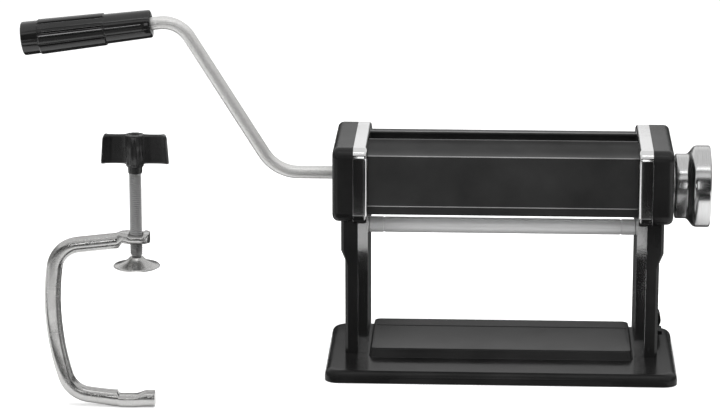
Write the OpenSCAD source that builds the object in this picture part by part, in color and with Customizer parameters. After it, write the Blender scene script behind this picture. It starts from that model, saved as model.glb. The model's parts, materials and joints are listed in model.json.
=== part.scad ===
// Hand cranked dough sheeter: two steel rollers in a covered head, carried by
// two channel legs on a pressed base, with a thickness dial, a lift out crank
// and a separate table clamp. Millimetres, +X right, +Y back, +Z up, and the
// origin on the table midway between the legs.

/* [Base] */
// How far the base reaches beyond the inner face of each side frame
base_overhang = 26.5; // [22:0.5:38]
// Depth of the base, front to back
base_d = 112.5; // [111:0.5:125]
// Distance of the base's rear edge behind the middle of the legs
base_rear = 45; // [45:0.5:56]
// Height of the platform above the table
base_h = 8; // [7.5:0.1:10]
// Corner radius of the base outline
base_corner_r = 9; // [7:0.5:14]
// Steel thickness of the base pressing
base_wall = 1.2; // [0.9:0.1:1.4]
// Height of the upright rim below the rounded shoulder
rim_h = 3.2; // [2:0.1:4]
// How far the platform edge sits in from the rim
shoulder_in = 4.4; // [3:0.1:5.5]
// How far the raised middle of the base stops short of the side frames at each end
bridge_end_gap = 1; // [0.5:0.1:20]
// Depth of the raised middle, front to back
bridge_d = 75.8; // [60:0.1:76]
// Height of the raised middle above the platform
bridge_rise = 5.3; // [3:0.1:6]
// Depth of the slope at its front and its back
bridge_run = 3.9; // [3:0.1:8]
// Thickness of the rubber mat under the base
mat_t = 1.6; // [1.2:0.1:2.2]

/* [Side frames] */
// Clear width between the two side frames
frame_gap = 174; // [160:1:180]
// Thickness of the side plates
plate_t = 1.5; // [1:0.1:2]
// Width of the flange round the head
ring_w = 9; // [8:0.1:10]
// Width of the flanges down the leg
leg_flange_w = 6.5; // [5.5:0.1:7]
// Depth of the leg, front to back
leg_d = 53; // [46:0.5:56]
// How far the neck under the head stands out beyond the leg, front and back
neck_step = 2; // [1:0.1:4]
// Height of the neck below the head
neck_l = 20.5; // [16:0.5:24]
// Diameter of the round tie rod between the legs
tie_rod_d = 10.4; // [8:0.1:12]
// Distance of the tie rod below the roller axes
tie_rod_drop = 31.4; // [30:0.1:34]

/* [Head] */
// Height of the roller axes above the table
axis_z = 120; // [116:0.5:130]
// How far the head reaches beyond the rollers, front and back
head_margin = 17.1; // [15:0.1:20]
// Head flange below the roller axes
head_below = 21.5; // [21:0.1:23]
// Head flange above the roller axes
head_above = 29; // [28:0.1:32]
// Corner radius of the head outline
head_corner_r = 7; // [5:0.5:9]
// Width of the end covers, outwards from the flange
end_cover_w = 13.5; // [13:0.1:15]
// Wall of the moulded covers
cover_t = 1.8; // [1.5:0.1:2]
// Width of the leg covers beyond the leg flange
leg_cover_w = 8.3; // [7.5:0.1:9.5]
// Width of the leg covers at the neck
neck_cover_w = 11; // [10:0.1:11.5]
// Sheet thickness of the front and rear covers
sheet_t = 1.2; // [0.8:0.1:1.4]
// How far the sheet covers' upright face lies inside the head's outline
face_in = 5.1; // [4.4:0.1:6]
// Distance of the hopper crest from the middle
crest_y = 11.5; // [10:0.1:13]
// Distance of the hopper's lower lip from the middle
throat_y = 5.5; // [4.5:0.1:6]

/* [Rollers] */
// Roller diameter
roller_d = 24.8; // [24.4:0.1:24.9]
// Gap between the rollers at the thinnest setting
least_gap = 0.3; // [0.2:0.1:1]
// How far the dial moves the front roller
gap_travel = 1.8; // [1.2:0.1:1.8]
// Face width of the roller gears
gear_w = 7.5; // [6:0.1:8]
// Journal diameter of the driven roller
drive_journal_d = 14; // [13:0.1:15]
// Journal diameter of the front roller
gap_journal_d = 16; // [15:0.1:17]

/* [Thickness dial] */
// Settings on the dial
dial_settings = 7; // [5:1:9]
// Diameter of the dial's neck
knob_neck_d = 42; // [40:0.5:44]
// Diameter of the dial's rim
knob_rim_d = 52.9; // [50:0.1:56]
// Length of the neck
knob_neck_l = 6.8; // [6.4:0.1:8]
// Length of the flare between neck and rim
knob_flare_l = 6; // [5.6:0.1:7]
// Length of the rim
knob_rim_l = 9.7; // [9.4:0.1:12]
// How far the dial pulls out to change the setting
knob_pull = 4; // [3:0.1:4]
// Diameter of the dial's shaft
selector_d = 8; // [7:0.1:8.5]

/* [Crank] */
// Diameter of the crank rod
crank_d = 8.5; // [8:0.1:9]
// Depth the rod reaches into the driven roller's journal
socket_l = 23; // [18:0.5:24]
// Distance from the end cover to the crank's lower corner
crank_reach = 39.8; // [34:0.1:50]
// Throw of the crank at its upper corner
crank_throw = 100.9; // [90:0.1:115]
// Slope of the crank's arm above level
arm_slope = 58; // [50:0.5:66]
// Bend radius of the lower corner
lower_bend_r = 27; // [20:0.5:32]
// Bend radius of the upper corner
upper_bend_r = 20; // [16:0.5:24]
// Droop of the handle below level
handle_droop = 7.3; // [4:0.1:9]
// Free rod between the upper bend and the grip
bare_rod_l = 5; // [3:0.1:8]

/* [Grip] */
// Length of the grip
grip_l = 85.5; // [76:0.5:95]
// Diameter at the rod end
grip_near_d = 20; // [18:0.1:22]
// Diameter at the far end
grip_far_d = 23.6; // [21:0.1:25]
// Flutes round the grip
flute_count = 10; // [8:1:12]
// Depth of the flutes
flute_depth = 0.9; // [0.5:0.1:1.1]

/* [Table clamp] */
// Place of the clamp's screw, left of the middle
clamp_x = -227; // [-232:0.5:-224]
// Place of the clamp in front of the middle
clamp_y = -119; // [-126:0.5:-118]
// Diameter of the clamp's rod
clamp_rod_d = 10; // [9:0.1:11]
// Straight length of the upper arm
upper_arm_l = 24.5; // [20:0.1:28]
// Bend radius of the frame's corners
clamp_corner_r = 17; // [14:0.5:20]
// Radius of the bowed back of the frame
clamp_back_r = 165; // [150:1:190]
// Straight length of the lower arm
lower_arm_l = 16.4; // [12:0.1:20]
// Thickness of the eye round the screw
eye_t = 6.6; // [6:0.1:8]
// Thread diameter of the clamp screw
clamp_screw_d = 8; // [7:0.5:8]
// Thread pitch of the clamp screw
screw_pitch = 1.25; // [1:0.05:1.5]
// Distance of the foot's underside below the eye
foot_below_eye = 15.7; // [14:0.1:18]
// Diameter of the pressure foot
foot_d = 29.2; // [26:0.1:32]
// Distance of the knob's underside above the eye
wing_above_eye = 43.7; // [42:0.1:50]
// Width across the wings at their base
wing_w = 42; // [38:0.5:42]
// Height of the wings
wing_h = 18.6; // [16:0.1:22]

/* [Hidden] */
$fn = 64;
hull_fn = 32;

// Finishes
black_paint = "#1c1c1e";
black_plastic = "#141415";
chrome_finish = "#c9ccd1";
steel_finish = "#9ea2a8";
zinc_finish = "#b7babd";
bronze_finish = "#a98a4c";
rubber_finish = "#26262a";

// Clearances and allowances shared by the whole machine
cut = 1;
film = 0.02;
seat_gap = 0.05;
running_fit = 0.05;
press_fit = 0.03;
easy_fit = 0.3;
side_play = 0.6;

// Stations along X on the right side, worked outwards from the side plate
plate_x = frame_gap / 2;
plate_out_x = plate_x + plate_t;
base_w = frame_gap + 2 * base_overhang;
base_mid_y = base_rear - base_d / 2;
bridge_l = frame_gap - 2 * bridge_end_gap;
ring_x = plate_x + ring_w;
leg_flange_x = plate_x + leg_flange_w;
leg_cover_x = leg_flange_x + leg_cover_w;
neck_cover_x = leg_flange_x + neck_cover_w;
cover_x = ring_x + end_cover_w;
cover_in_x = cover_x - cover_t;

// Rollers and the depth of the head and neck
roller_r = roller_d / 2;
axis_pitch = roller_d + least_gap + gap_travel / 2;
head_d = axis_pitch + roller_d + 2 * head_margin;
neck_d = leg_d + 2 * neck_step;

// Heights of the head
head_low_z = axis_z - head_below;
head_top_z = axis_z + head_above;
end_cover_low_z = head_low_z + plate_t;
neck_z = head_low_z - neck_l;
tie_rod_z = axis_z - tie_rod_drop;
plate_bend_r = 2;

// Roller axes
drive_y = axis_pitch / 2;
selector_y = -axis_pitch / 2;
gap_y = selector_y - gap_travel / 2;
roller_end_gap = 1;
roller_end_x = plate_x - roller_end_gap;
drive_journal_r = drive_journal_d / 2;
gap_journal_r = gap_journal_d / 2;
gap_bore_r = 5.5;
selector_r = selector_d / 2;

// Gears
gear_teeth = 12;
gear_end_gap = 0.5;
gear_tip_height = 1.6;
gear_root_depth = 2.8;
gear_tip_w = 1.2;
gear_root_w = 2.9;
gear_tip_r = axis_pitch / 2 + gear_tip_height;
gear_root_r = axis_pitch / 2 - gear_root_depth;
gear_out_x = roller_end_x - gear_end_gap;
gear_in_x = gear_out_x - gear_w;
roller_left_x = gear_in_x - gear_end_gap;

// Driven roller's bushes and shaft
bush_wall = 2;
bush_flange_r = 11.5;
bush_flange_t = 2;
bush_r = drive_journal_r + bush_wall;
drive_shaft_reach = 17;
drive_tail_reach = 5;
drive_shaft_out_x = plate_x + drive_shaft_reach;
drive_tail_x = plate_x + drive_tail_reach;
rod_flat_share = 0.76;
crank_r = crank_d / 2;
rod_flat = crank_r * rod_flat_share;

// Front roller's sliding bearings and the cams that set them
block_gap = 0.5;
block_w = 8;
block_half = 10.5;
block_x = plate_out_x + block_gap;
block_end_x = block_x + block_w;
gap_journal_end_x = block_end_x - easy_fit;
cam_w = 3;
cam_x = block_end_x + side_play;
cam_end_x = cam_x + cam_w;
cam_low_r = 6;
cam_touch_gap = 0.1;
cam_steps = 72;
cam_dwell_angle = 20;
lug_w = 3;
lug_half_h = 1.2;
bracket_x = cam_end_x + side_play;
bracket_t = 2;
bracket_end_x = bracket_x + bracket_t;
rail_gap = 0.15;
rail_z = block_half + rail_gap;
rail_t = 4.4;
rail_front = 13.5;
rail_back = 18;
bracket_back = 14;
slot_gap = 0.5;
tab_t = 1.8;
tab_low = 5;
tab_x = plate_out_x + bush_flange_t + side_play;
spring_up = 7.5;
spring_r = 1.8;
spring_wire = 0.7;
selector_bush_r = 5.5;
bracket_screw_r = 1.5;
bracket_screw_head_r = 2.4;
bracket_screw_head_t = 1.7;
bracket_screw_in = 3;
bracket_screw_back = 11;

// Dial
dial_turn_angle = 270;
pin_start_angle = 90;
index_disc_r = 14.2;
index_flange_r = 15.6;
index_hub_r = 7;
index_flange_t = 1.4;
index_stand = 1.4;
index_hole_gap = 0.2;
groove_depth = 1.2;
pocket_depth = 1.7;
pin_r = 1.25;
pin_circle_r = 11;
pin_out = 1;
pin_seat = 6;
groove_gap = 0.25;
pocket_extra_r = 0.5;
knob_gap = 0.3;
index_face_x = cover_x + index_stand;
knob_x = index_face_x + knob_gap;
knob_neck_x = knob_x + knob_neck_l;
knob_flare_x = knob_neck_x + knob_flare_l;
knob_end_x = knob_flare_x + knob_rim_l;
knob_edge = 0.8;
knob_key_l = 4.8;
knob_cavity_r = 8;
cap_r = 10;
cap_t = 2.6;
cap_sink = 0.2;
spring_block_l = 6.5;
shaft_end_x = knob_x + knob_key_l + knob_pull + spring_block_l;
shaft_flat_share = 0.8;
shaft_flat = selector_r * shaft_flat_share;
shaft_flat_lead = 1;
shaft_flat_l = shaft_end_x - knob_x + shaft_flat_lead;
washer_r = 6.5;
washer_t = 1;
shaft_screw_r = 2;
shaft_screw_l = 10;
shaft_screw_head_r = 3.5;
shaft_screw_head_t = 2.4;
knob_spring_r = 6.2;
knob_spring_wall = 1.4;

// Side plate and head fasteners
tie_screw_r = 2.4;
tie_screw_l = 14;
tie_screw_head_r = 4.2;
tie_screw_head_t = 3;
bar_r = 3.5;
bar_in = 4.4;
bar_y = head_d / 2 - face_in - bar_in;
bar_drop = 4;
bar_screw_r = 1.9;
bar_screw_l = 10;
bar_screw_head_r = 3.2;
bar_screw_head_t = 2.4;
cover_screw_drop = 7;
cover_screw_back = 24;
cover_screw_low = 13;
cover_screw_places = [[0, head_above - cover_screw_drop], [cover_screw_back, -cover_screw_low]];
cover_screw_r = 1.6;
cover_screw_head_r = 3;
cover_screw_head_t = 1.4;
boss_wall = 2.2;
dome_r = 4;
leg_screw_z = 45;

// Leg foot, base screws and mat
foot_reach = 12.6;
foot_tab_d = 40;
foot_screw_in = 8;
foot_screw_x = plate_x + foot_screw_in;
foot_screw_y = 13;
base_screw_r = 2;
base_screw_head_r = 3.6;
base_screw_head_t = 2.2;
base_screw_tail = 1.6;
nut_r = 3.8;
nut_t = 3;
rim_gap = 0.4;
rim_z = rim_gap + rim_h;
mat_edge_gap = 0.3;
mat_boss_r = 5;
mat_access_r = 5;
mat_boss_xs = [-0.36, -0.12, 0.12, 0.36];
mat_boss_y_share = 0.36;
mat_side_boss_in = 13.5;
bridge_back_gap = 0.1;
bridge_y = base_rear - shoulder_in - bridge_back_gap - bridge_d / 2;
bridge_end_run = 1.5;
bridge_corner_r = 4;

// Sheet covers, measured from the roller axes
face_top = 23.4;
face_low = 9.3;
face_y = head_d / 2 - face_in;
lip_room = 2.8;
foot_drop = roller_r + lip_room;
foot_in = 3;
lip_in = 9;
crest_up = 27.8;
throat_up = 14.4;
hem_r = 1.1;
sheet_end_gap = 0.1;
scraper_tip_gap = 0.5;
scraper_t = 1.6;
scraper_nose_t = 0.8;
scraper_slope_l = 2.5;
scraper_tip_in = 0.5;
scraper_back = 4;

// Clamp socket on the base
socket_bore_r = 5.4;
socket_wall = 2.1;
socket_tube_l = 13;
socket_in = 14.5;
socket_x = base_w / 2 - socket_in;
socket_back_gap = 0.1;
socket_y = base_rear - shoulder_in - socket_back_gap - socket_tube_l;
socket_pad_t = 1.5;
socket_pad_w = 17;

// Crank and grip details
rod_tip_r = 2.5;
rod_tip_l = 1.3;
rivet_head_r = 3.5;
rivet_head_l = 1.2;
washer_gap = 0.3;
grip_washer_r = 6.4;
grip_washer_t = 1.2;
grip_end_recess = 8.5;
grip_recess_r = 7;
grip_edge = 1.2;
grip_collar_l = 8;
flute_start = 30;
flute_r = 6;
crank_hole_gap = 1.2;

// Clamp details
clamp_arm_angle = 6.8;
upper_turn_angle = 75.2;
back_turn_angle = 25;
lower_turn_angle = 66;
eye_r = 8.4;
eye_lift = 2.4;
eye_neck = 4;
stub_r = 5.3;
stub_l = 25.6;
notch_in = 2.5;
notch_l = 16;
notch_depth = 2.9;
notch_half_w = 7;
thread_depth_share = 0.61;
thread_root_r = clamp_screw_d / 2 - screw_pitch * thread_depth_share;
tip_r = 2.5;
tip_in = 3.4;
foot_t = 6.4;
foot_edge_t = 1.4;
foot_edge_lift = 0.9;
foot_face_in = 2;
foot_hub_r = 4.6;
thread_start = 7.4;
collar_l = 6;
collar_low_r = 4.3;
wing_hub_r = 6.4;
wing_t = 6.5;
wing_taper = 1.4;
wing_bore_l = 9;
wing_stem_r = 3.2;
wing_corner_r = 1.6;

rod_sides = 24;
bend_step_angle = 6;
left_angle = 180;

// Bend and run lists of the two bent rods: straight length, bend radius, turn
crank_turn_angle = arm_slope + handle_droop;
crank_start_x = drive_shaft_out_x - socket_l;
lower_tangent = lower_bend_r * tan(arm_slope / 2);
upper_tangent = upper_bend_r * tan(crank_turn_angle / 2);
crank_straight_l = cover_x + crank_reach - lower_tangent - crank_start_x;
crank_arm_l = crank_throw / sin(arm_slope) - lower_tangent - upper_tangent;
rod_in_grip_l = grip_l - grip_end_recess + washer_gap;
crank_runs = [[crank_straight_l, lower_bend_r, arm_slope],
    [crank_arm_l, upper_bend_r, -crank_turn_angle], [bare_rod_l + rod_in_grip_l, 0, 0]];
clamp_runs = [[upper_arm_l, clamp_corner_r, -upper_turn_angle], [0, clamp_back_r, -back_turn_angle],
    [0, clamp_corner_r, -lower_turn_angle], [lower_arm_l, 0, 0]];

// Stations [x, z, heading] along a bent rod that lies in an upright plane
function bend_point(at, bend, turn) =
    let (side = turn > 0 ? -1 : 1, after = at[2] - turn)
    [at[0] + side * bend * (sin(after) - sin(at[2])),
        at[1] - side * bend * (cos(after) - cos(at[2])), after];

function stations(runs, at, i = 0) =
    i >= len(runs) ? [at] :
    let (
        l = runs[i][0],
        turn = runs[i][2],
        steps = ceil(abs(turn) / bend_step_angle),
        mid = [at[0] + l * cos(at[2]), at[1] + l * sin(at[2]), at[2]],
        last = turn == 0 ? mid : bend_point(mid, runs[i][1], turn)
    ) concat(l > 0 ? [at] : [],
        [for (k = [0:steps - 1]) bend_point(mid, runs[i][1], turn * k / steps)],
        stations(runs, last, i + 1));

crank_stations = stations(crank_runs, [-crank_start_x, axis_z, left_angle]);
crank_end = crank_stations[len(crank_stations) - 1];
grip_x = crank_end[0] + rod_in_grip_l * cos(handle_droop);
grip_z = crank_end[1] + rod_in_grip_l * sin(handle_droop);
clamp_shape = stations(clamp_runs, [0, 0, left_angle + clamp_arm_angle]);
clamp_end = clamp_shape[len(clamp_shape) - 1];
arm_start_x = clamp_x - eye_r - eye_neck;
arm_start_z = stub_r - clamp_end[1];
clamp_stations = stations(clamp_runs, [arm_start_x, arm_start_z, left_angle + clamp_arm_angle]);
eye_z = arm_start_z + eye_lift - eye_t / 2;
foot_z = eye_z - foot_below_eye;
wing_z = eye_z + eye_t + wing_above_eye;
stub_x = arm_start_x + clamp_end[0];

// Shared shapes
module along_x(x0) translate([x0, 0, 0]) rotate([90, 0, 90]) children();

module bar(x0, x1, r) along_x(x0) cylinder(h = x1 - x0, r = r);

module tube(x0, x1, r_out, r_in) difference() {
    bar(x0, x1, r_out);
    bar(x0 - cut, x1 + cut, r_in);
}

module both_sides() {
    children();
    mirror([1, 0, 0]) children();
}

module on_drive() translate([0, drive_y, axis_z]) children();

module on_selector() translate([0, selector_y, axis_z]) children();

module on_gap_roller() translate([0, gap_y, axis_z]) children();

module rounded_outline(w, d, r) {
    square([w - 2 * r, d], center = true);
    square([w, d - 2 * r], center = true);
    for (sx = [-1, 1], sy = [-1, 1])
        translate([sx * (w / 2 - r), sy * (d / 2 - r)]) circle(r = r);
}

module floor_slab(w, d, r, z0, z1) translate([0, 0, z0])
    linear_extrude(height = z1 - z0) rounded_outline(w, d, r);

module head_slab(x0, x1, inset, low) {
    high = head_top_z - inset;
    bottom = low + inset;
    r = max(head_corner_r - inset, plate_bend_r);
    translate([0, 0, (high + bottom) / 2]) along_x(x0)
        linear_extrude(height = x1 - x0) rounded_outline(head_d - 2 * inset, high - bottom, r);
}

module block_between(low, high) translate(low) cube(high - low);

// A round rod swept along stations in the plane Y = 0
module bent_rod(r, path) {
    n = rod_sides;
    last = len(path) - 1;
    points = [for (at = path, k = [0:n - 1]) let (t = k * 360 / n)
        [at[0] - r * sin(t) * sin(at[2]), r * cos(t), at[1] + r * sin(t) * cos(at[2])]];
    walls = [for (i = [0:last - 1], k = [0:n - 1]) let (next = (k + 1) % n)
        [i * n + k, (i + 1) * n + k, (i + 1) * n + next, i * n + next]];
    polyhedron(points = points, faces = concat([[for (k = [0:n - 1]) k]], walls,
        [[for (k = [n - 1:-1:0]) last * n + k]]));
}

// A folded sheet of thickness t, whose middle runs through the points
function strip_normal(points, i) =
    let (step = points[i + 1] - points[i]) [-step[1], step[0]] / norm(step);

function sheet_side(points, reach) = [for (i = [0:len(points) - 1]) let (
    before = strip_normal(points, max(i - 1, 0)),
    after = strip_normal(points, min(i, len(points) - 2))
) points[i] + (before + after) * reach / (1 + before * after)];

module folded_sheet(points, t) {
    far_side = sheet_side(points, -t / 2);
    polygon(concat(sheet_side(points, t / 2),
        [for (i = [len(points) - 1:-1:0]) far_side[i]]));
}

// Base
module tray_form(inset, top) translate([0, base_mid_y, 0]) hull() {
    $fn = hull_fn;
    w = base_w - 2 * inset;
    d = base_d - 2 * inset;
    floor_slab(w, d, base_corner_r - inset, inset > 0 ? 0 : rim_gap, rim_z);
    for (a = [30:30:90]) {
        in = shoulder_in * (1 - cos(a));
        z = rim_z + (top - rim_z) * sin(a);
        floor_slab(w - 2 * in, d - 2 * in, base_corner_r - inset - in / 2, z - film, z);
    }
}

module bridge_form(inset) translate([0, bridge_y, 0]) hull() {
    $fn = hull_fn;
    l = bridge_l - 2 * inset;
    d = bridge_d - 2 * inset;
    floor_slab(l, d, bridge_corner_r - inset, base_h - base_wall - inset, base_h - inset);
    floor_slab(l - 2 * bridge_end_run, d - 2 * bridge_run, bridge_corner_r - inset,
        base_h + bridge_rise - inset - film, base_h + bridge_rise - inset);
}

module at_foot_screws() both_sides() for (y = [-foot_screw_y, foot_screw_y])
    translate([foot_screw_x, y, 0]) children();

module base_tray() color(black_paint) difference() {
    union() {
        tray_form(0, base_h);
        bridge_form(0);
    }
    tray_form(base_wall, base_h - base_wall);
    bridge_form(base_wall);
    at_foot_screws() cylinder(h = base_h + cut, r = base_screw_r + easy_fit);
}

module anti_slip_mat() {
    mat_in = base_wall + mat_edge_gap;
    ceiling = base_h - base_wall - seat_gap;
    color(rubber_finish) difference() {
        union() {
            translate([0, base_mid_y, 0]) {
                floor_slab(base_w - 2 * mat_in, base_d - 2 * mat_in, base_corner_r - mat_in, 0, mat_t);
                for (share = mat_boss_xs)
                    translate([share * base_w, -mat_boss_y_share * base_d, 0])
                        cylinder(h = ceiling, r = mat_boss_r);
                both_sides()
                    translate([base_w / 2 - mat_side_boss_in, mat_boss_y_share * base_d, 0])
                        cylinder(h = ceiling, r = mat_boss_r);
            }
        }
        at_foot_screws() translate([0, 0, -cut]) cylinder(h = mat_t + 2 * cut, r = mat_access_r);
    }
}

module base_screws() color(zinc_finish) at_foot_screws() {
    head_z = base_h - base_wall - seat_gap;
    translate([0, 0, head_z - base_screw_head_t])
        cylinder(h = base_screw_head_t, r = base_screw_head_r);
    translate([0, 0, head_z])
        cylinder(h = base_wall + plate_t + nut_t + base_screw_tail, r = base_screw_r);
}

module base_nuts() color(zinc_finish) at_foot_screws()
    translate([0, 0, base_h + plate_t + seat_gap]) difference() {
        cylinder(h = nut_t, r = nut_r, $fn = 6);
        translate([0, 0, -cut]) cylinder(h = nut_t + 2 * cut, r = base_screw_r + press_fit);
    }

module clamp_socket() color(black_paint) {
    outer = socket_bore_r + socket_wall;
    bore_z = base_h + socket_pad_t + outer;
    difference() {
        union() {
            block_between([socket_x - socket_pad_w / 2, socket_y, base_h],
                [socket_x + socket_pad_w / 2, socket_y + socket_tube_l, base_h + socket_pad_t]);
            block_between([socket_x - outer / 2, socket_y, base_h],
                [socket_x + outer / 2, socket_y + socket_tube_l, bore_z]);
            translate([socket_x, socket_y, bore_z]) rotate([-90, 0, 0])
                cylinder(h = socket_tube_l, r = outer);
        }
        translate([socket_x, socket_y - cut, bore_z]) rotate([-90, 0, 0])
            cylinder(h = socket_tube_l + 2 * cut, r = socket_bore_r);
    }
}

// Side frames
module frame_holes() {
    on_drive() bar(plate_x - cut, plate_out_x + cut, bush_r);
    for (y = [gap_y, gap_y + gap_travel]) translate([0, y, axis_z])
        bar(plate_x - cut, plate_out_x + cut, gap_journal_r + slot_gap);
    block_between([plate_x - cut, gap_y, axis_z - gap_journal_r - slot_gap],
        [plate_out_x + cut, gap_y + gap_travel, axis_z + gap_journal_r + slot_gap]);
    translate([0, 0, tie_rod_z]) bar(plate_x - cut, plate_out_x + cut, tie_screw_r + easy_fit);
    for (side = [-1, 1]) translate([0, side * bar_y, axis_z - bar_drop])
        bar(plate_x - cut, plate_out_x + cut, bar_screw_r + easy_fit);
    at_cover_screws() bar(plate_x - cut, plate_out_x + cut, cover_screw_r + press_fit);
    at_bracket_screws() bar(plate_x - cut, plate_out_x + cut, bracket_screw_r + press_fit);
    translate([0, 0, leg_screw_z]) bar(plate_x - cut, plate_out_x + cut, cover_screw_r + press_fit);
}

module side_frame() {
    leg_top = head_low_z + plate_t;
    difference() {
        union() {
            hull() {
                $fn = hull_fn;
                for (a = [0:30:90])
                    head_slab(plate_x + plate_bend_r * (1 - cos(a)), ring_x,
                        plate_bend_r * (1 - sin(a)), head_low_z);
            }
            block_between([plate_x, -leg_d / 2, base_h], [leg_flange_x, leg_d / 2, leg_top]);
            block_between([plate_x, -neck_d / 2, neck_z], [leg_flange_x, neck_d / 2, leg_top]);
        }
        head_slab(plate_out_x, ring_x + cut, plate_t, head_low_z);
        block_between([plate_out_x, plate_t - leg_d / 2, base_h - cut],
            [leg_flange_x + cut, leg_d / 2 - plate_t, head_low_z]);
        block_between([plate_out_x, plate_t - neck_d / 2, neck_z + plate_t],
            [leg_flange_x + cut, neck_d / 2 - plate_t, head_low_z]);
        frame_holes();
    }
    difference() {
        block_between([plate_x, -foot_tab_d / 2, base_h],
            [plate_x + foot_reach, foot_tab_d / 2, base_h + plate_t]);
        at_foot_screws() translate([0, 0, base_h - cut])
            cylinder(h = plate_t + 2 * cut, r = base_screw_r + easy_fit);
    }
}

module right_frame() color(chrome_finish) side_frame();

module left_frame() color(chrome_finish) mirror([1, 0, 0]) side_frame();

// Leg covers
module leg_cover_form(inset, x0, low) {
    half = leg_d / 2 - inset;
    neck_half = neck_d / 2 - inset;
    x1 = leg_cover_x - inset;
    neck_x1 = neck_cover_x - inset;
    top = end_cover_low_z - seat_gap - inset;
    hull() {
        block_between([x0, -half, low], [x1 - cover_t, half, top]);
        block_between([x0, cover_t - half, low], [x1, half - cover_t, top]);
    }
    hull() {
        block_between([x0, -neck_half, neck_z], [neck_x1 - cover_t, neck_half, top]);
        block_between([x0, cover_t - neck_half, neck_z], [neck_x1, neck_half - cover_t, top]);
        block_between([x0, -half, neck_z - neck_cover_w], [x1 - cover_t, half, top]);
    }
}

module leg_cover() {
    neck_in = neck_d / 2 - cover_t;
    difference() {
        leg_cover_form(0, leg_flange_x, base_h);
        leg_cover_form(cover_t, leg_flange_x - cut, base_h - cut);
        block_between([plate_x, -head_d, head_low_z - seat_gap],
            [ring_x + seat_gap, head_d, head_top_z]);
        block_between([plate_x, -neck_in, neck_z], [ring_x + seat_gap, neck_in, head_top_z]);
        translate([0, 0, leg_screw_z]) leg_screw_bore();
    }
    translate([0, 0, leg_screw_z]) difference() {
        bar(plate_out_x + seat_gap, leg_cover_x - cover_t + seat_gap, cover_screw_r + boss_wall);
        leg_screw_bore();
    }
}

module leg_screw_bore() {
    bar(plate_x, leg_cover_x + cut, cover_screw_r + press_fit);
    bar(leg_cover_x - cover_screw_head_t, leg_cover_x + cut, cover_screw_head_r + easy_fit);
}

module right_leg_cover() color(black_plastic) leg_cover();

module left_leg_cover() color(black_plastic) mirror([1, 0, 0]) leg_cover();

module cover_screw(x0, x1) {
    bar(x0, x1, cover_screw_r);
    bar(x1 - cover_screw_head_t + seat_gap, x1, cover_screw_head_r);
}

module leg_cover_screws() color(zinc_finish) both_sides() translate([0, 0, leg_screw_z])
    cover_screw(plate_x + seat_gap, leg_cover_x);

// End covers
module at_cover_screws() for (place = cover_screw_places)
    translate([0, place[0], axis_z + place[1]]) children();

module end_cover() difference() {
    union() {
        difference() {
            hull() {
                $fn = hull_fn;
                for (a = [0:22.5:90])
                    head_slab(ring_x, cover_x - dome_r * (1 - sin(a)),
                        dome_r * (1 - cos(a)), end_cover_low_z);
            }
            head_slab(ring_x - cut, cover_x - dome_r, cover_t, end_cover_low_z);
            head_slab(ring_x - cut, cover_in_x, dome_r, end_cover_low_z);
        }
        at_cover_screws() bar(plate_out_x + seat_gap, cover_in_x + cut,
            cover_screw_r + boss_wall);
    }
    at_cover_screws() {
        bar(plate_x, cover_x + cut, cover_screw_r + press_fit);
        bar(cover_x - cover_screw_head_t, cover_x + cut, cover_screw_head_r + easy_fit);
    }
}

module right_end_cover() color(black_plastic) difference() {
    end_cover();
    on_selector() bar(ring_x, cover_x + cut, index_disc_r + index_hole_gap);
}

module left_end_cover() color(black_plastic) mirror([1, 0, 0]) difference() {
    end_cover();
    on_drive() bar(ring_x, cover_x + cut, crank_r + crank_hole_gap);
}

module end_cover_screws() color(zinc_finish) both_sides() at_cover_screws()
    cover_screw(plate_x + seat_gap, cover_x);

// Sheet covers
module sheet_cover() {
    points = [[lip_in - face_y, -foot_drop], [-(face_y - foot_in), -foot_drop],
        [-face_y, -face_low], [-face_y, face_top], [-crest_y, crest_up], [-throat_y, throat_up]];
    half = plate_x - sheet_end_gap;
    translate([0, 0, axis_z]) along_x(-half) linear_extrude(height = 2 * half) {
        folded_sheet(points, sheet_t);
        translate(points[4]) circle(r = hem_r);
    }
}

module front_cover() color(black_paint) sheet_cover();

module rear_cover() color(black_paint) mirror([0, 1, 0]) sheet_cover();

// Rods between the side frames
module tie_rod() color(chrome_finish) translate([0, 0, tie_rod_z]) difference() {
    bar(seat_gap - plate_x, plate_x - seat_gap, tie_rod_d / 2);
    both_sides() bar(plate_x - tie_screw_l, plate_x, tie_screw_r + press_fit);
}

module at_cross_bars() for (side = [-1, 1])
    translate([0, side * bar_y, axis_z - bar_drop]) children();

module cross_bars() color(zinc_finish) at_cross_bars() difference() {
    bar(seat_gap - plate_x, plate_x - seat_gap, bar_r);
    both_sides() bar(plate_x - bar_screw_l, plate_x, bar_screw_r + press_fit);
}

module frame_screws() color(zinc_finish) both_sides() {
    translate([0, 0, tie_rod_z]) {
        bar(plate_x - tie_screw_l + side_play, plate_out_x + cut, tie_screw_r);
        bar(plate_out_x + seat_gap, plate_out_x + tie_screw_head_t, tie_screw_head_r);
    }
    at_cross_bars() {
        bar(plate_x - bar_screw_l + side_play, plate_out_x + cut, bar_screw_r);
        bar(plate_out_x + seat_gap, plate_out_x + bar_screw_head_t, bar_screw_head_r);
    }
}

// Scrapers that lift the dough off the rollers
module scraper() {
    top = -roller_r - scraper_tip_gap;
    base = sheet_t / 2 + seat_gap - foot_drop;
    root = face_y - foot_in - sheet_t / 2 - side_play;
    tip = drive_y - scraper_tip_in;
    translate([0, 0, axis_z]) along_x(roller_end_gap - roller_left_x)
        linear_extrude(height = roller_left_x + roller_end_x - roller_end_gap + side_play)
        polygon([[-root, base], [-root, base + scraper_t], [-root + scraper_back, top],
            [-tip, top], [-tip, top - scraper_nose_t],
            [-tip - scraper_slope_l, base]]);
}

module front_scraper() color(steel_finish) scraper();

module rear_scraper() color(steel_finish) mirror([0, 1, 0]) scraper();

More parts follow.
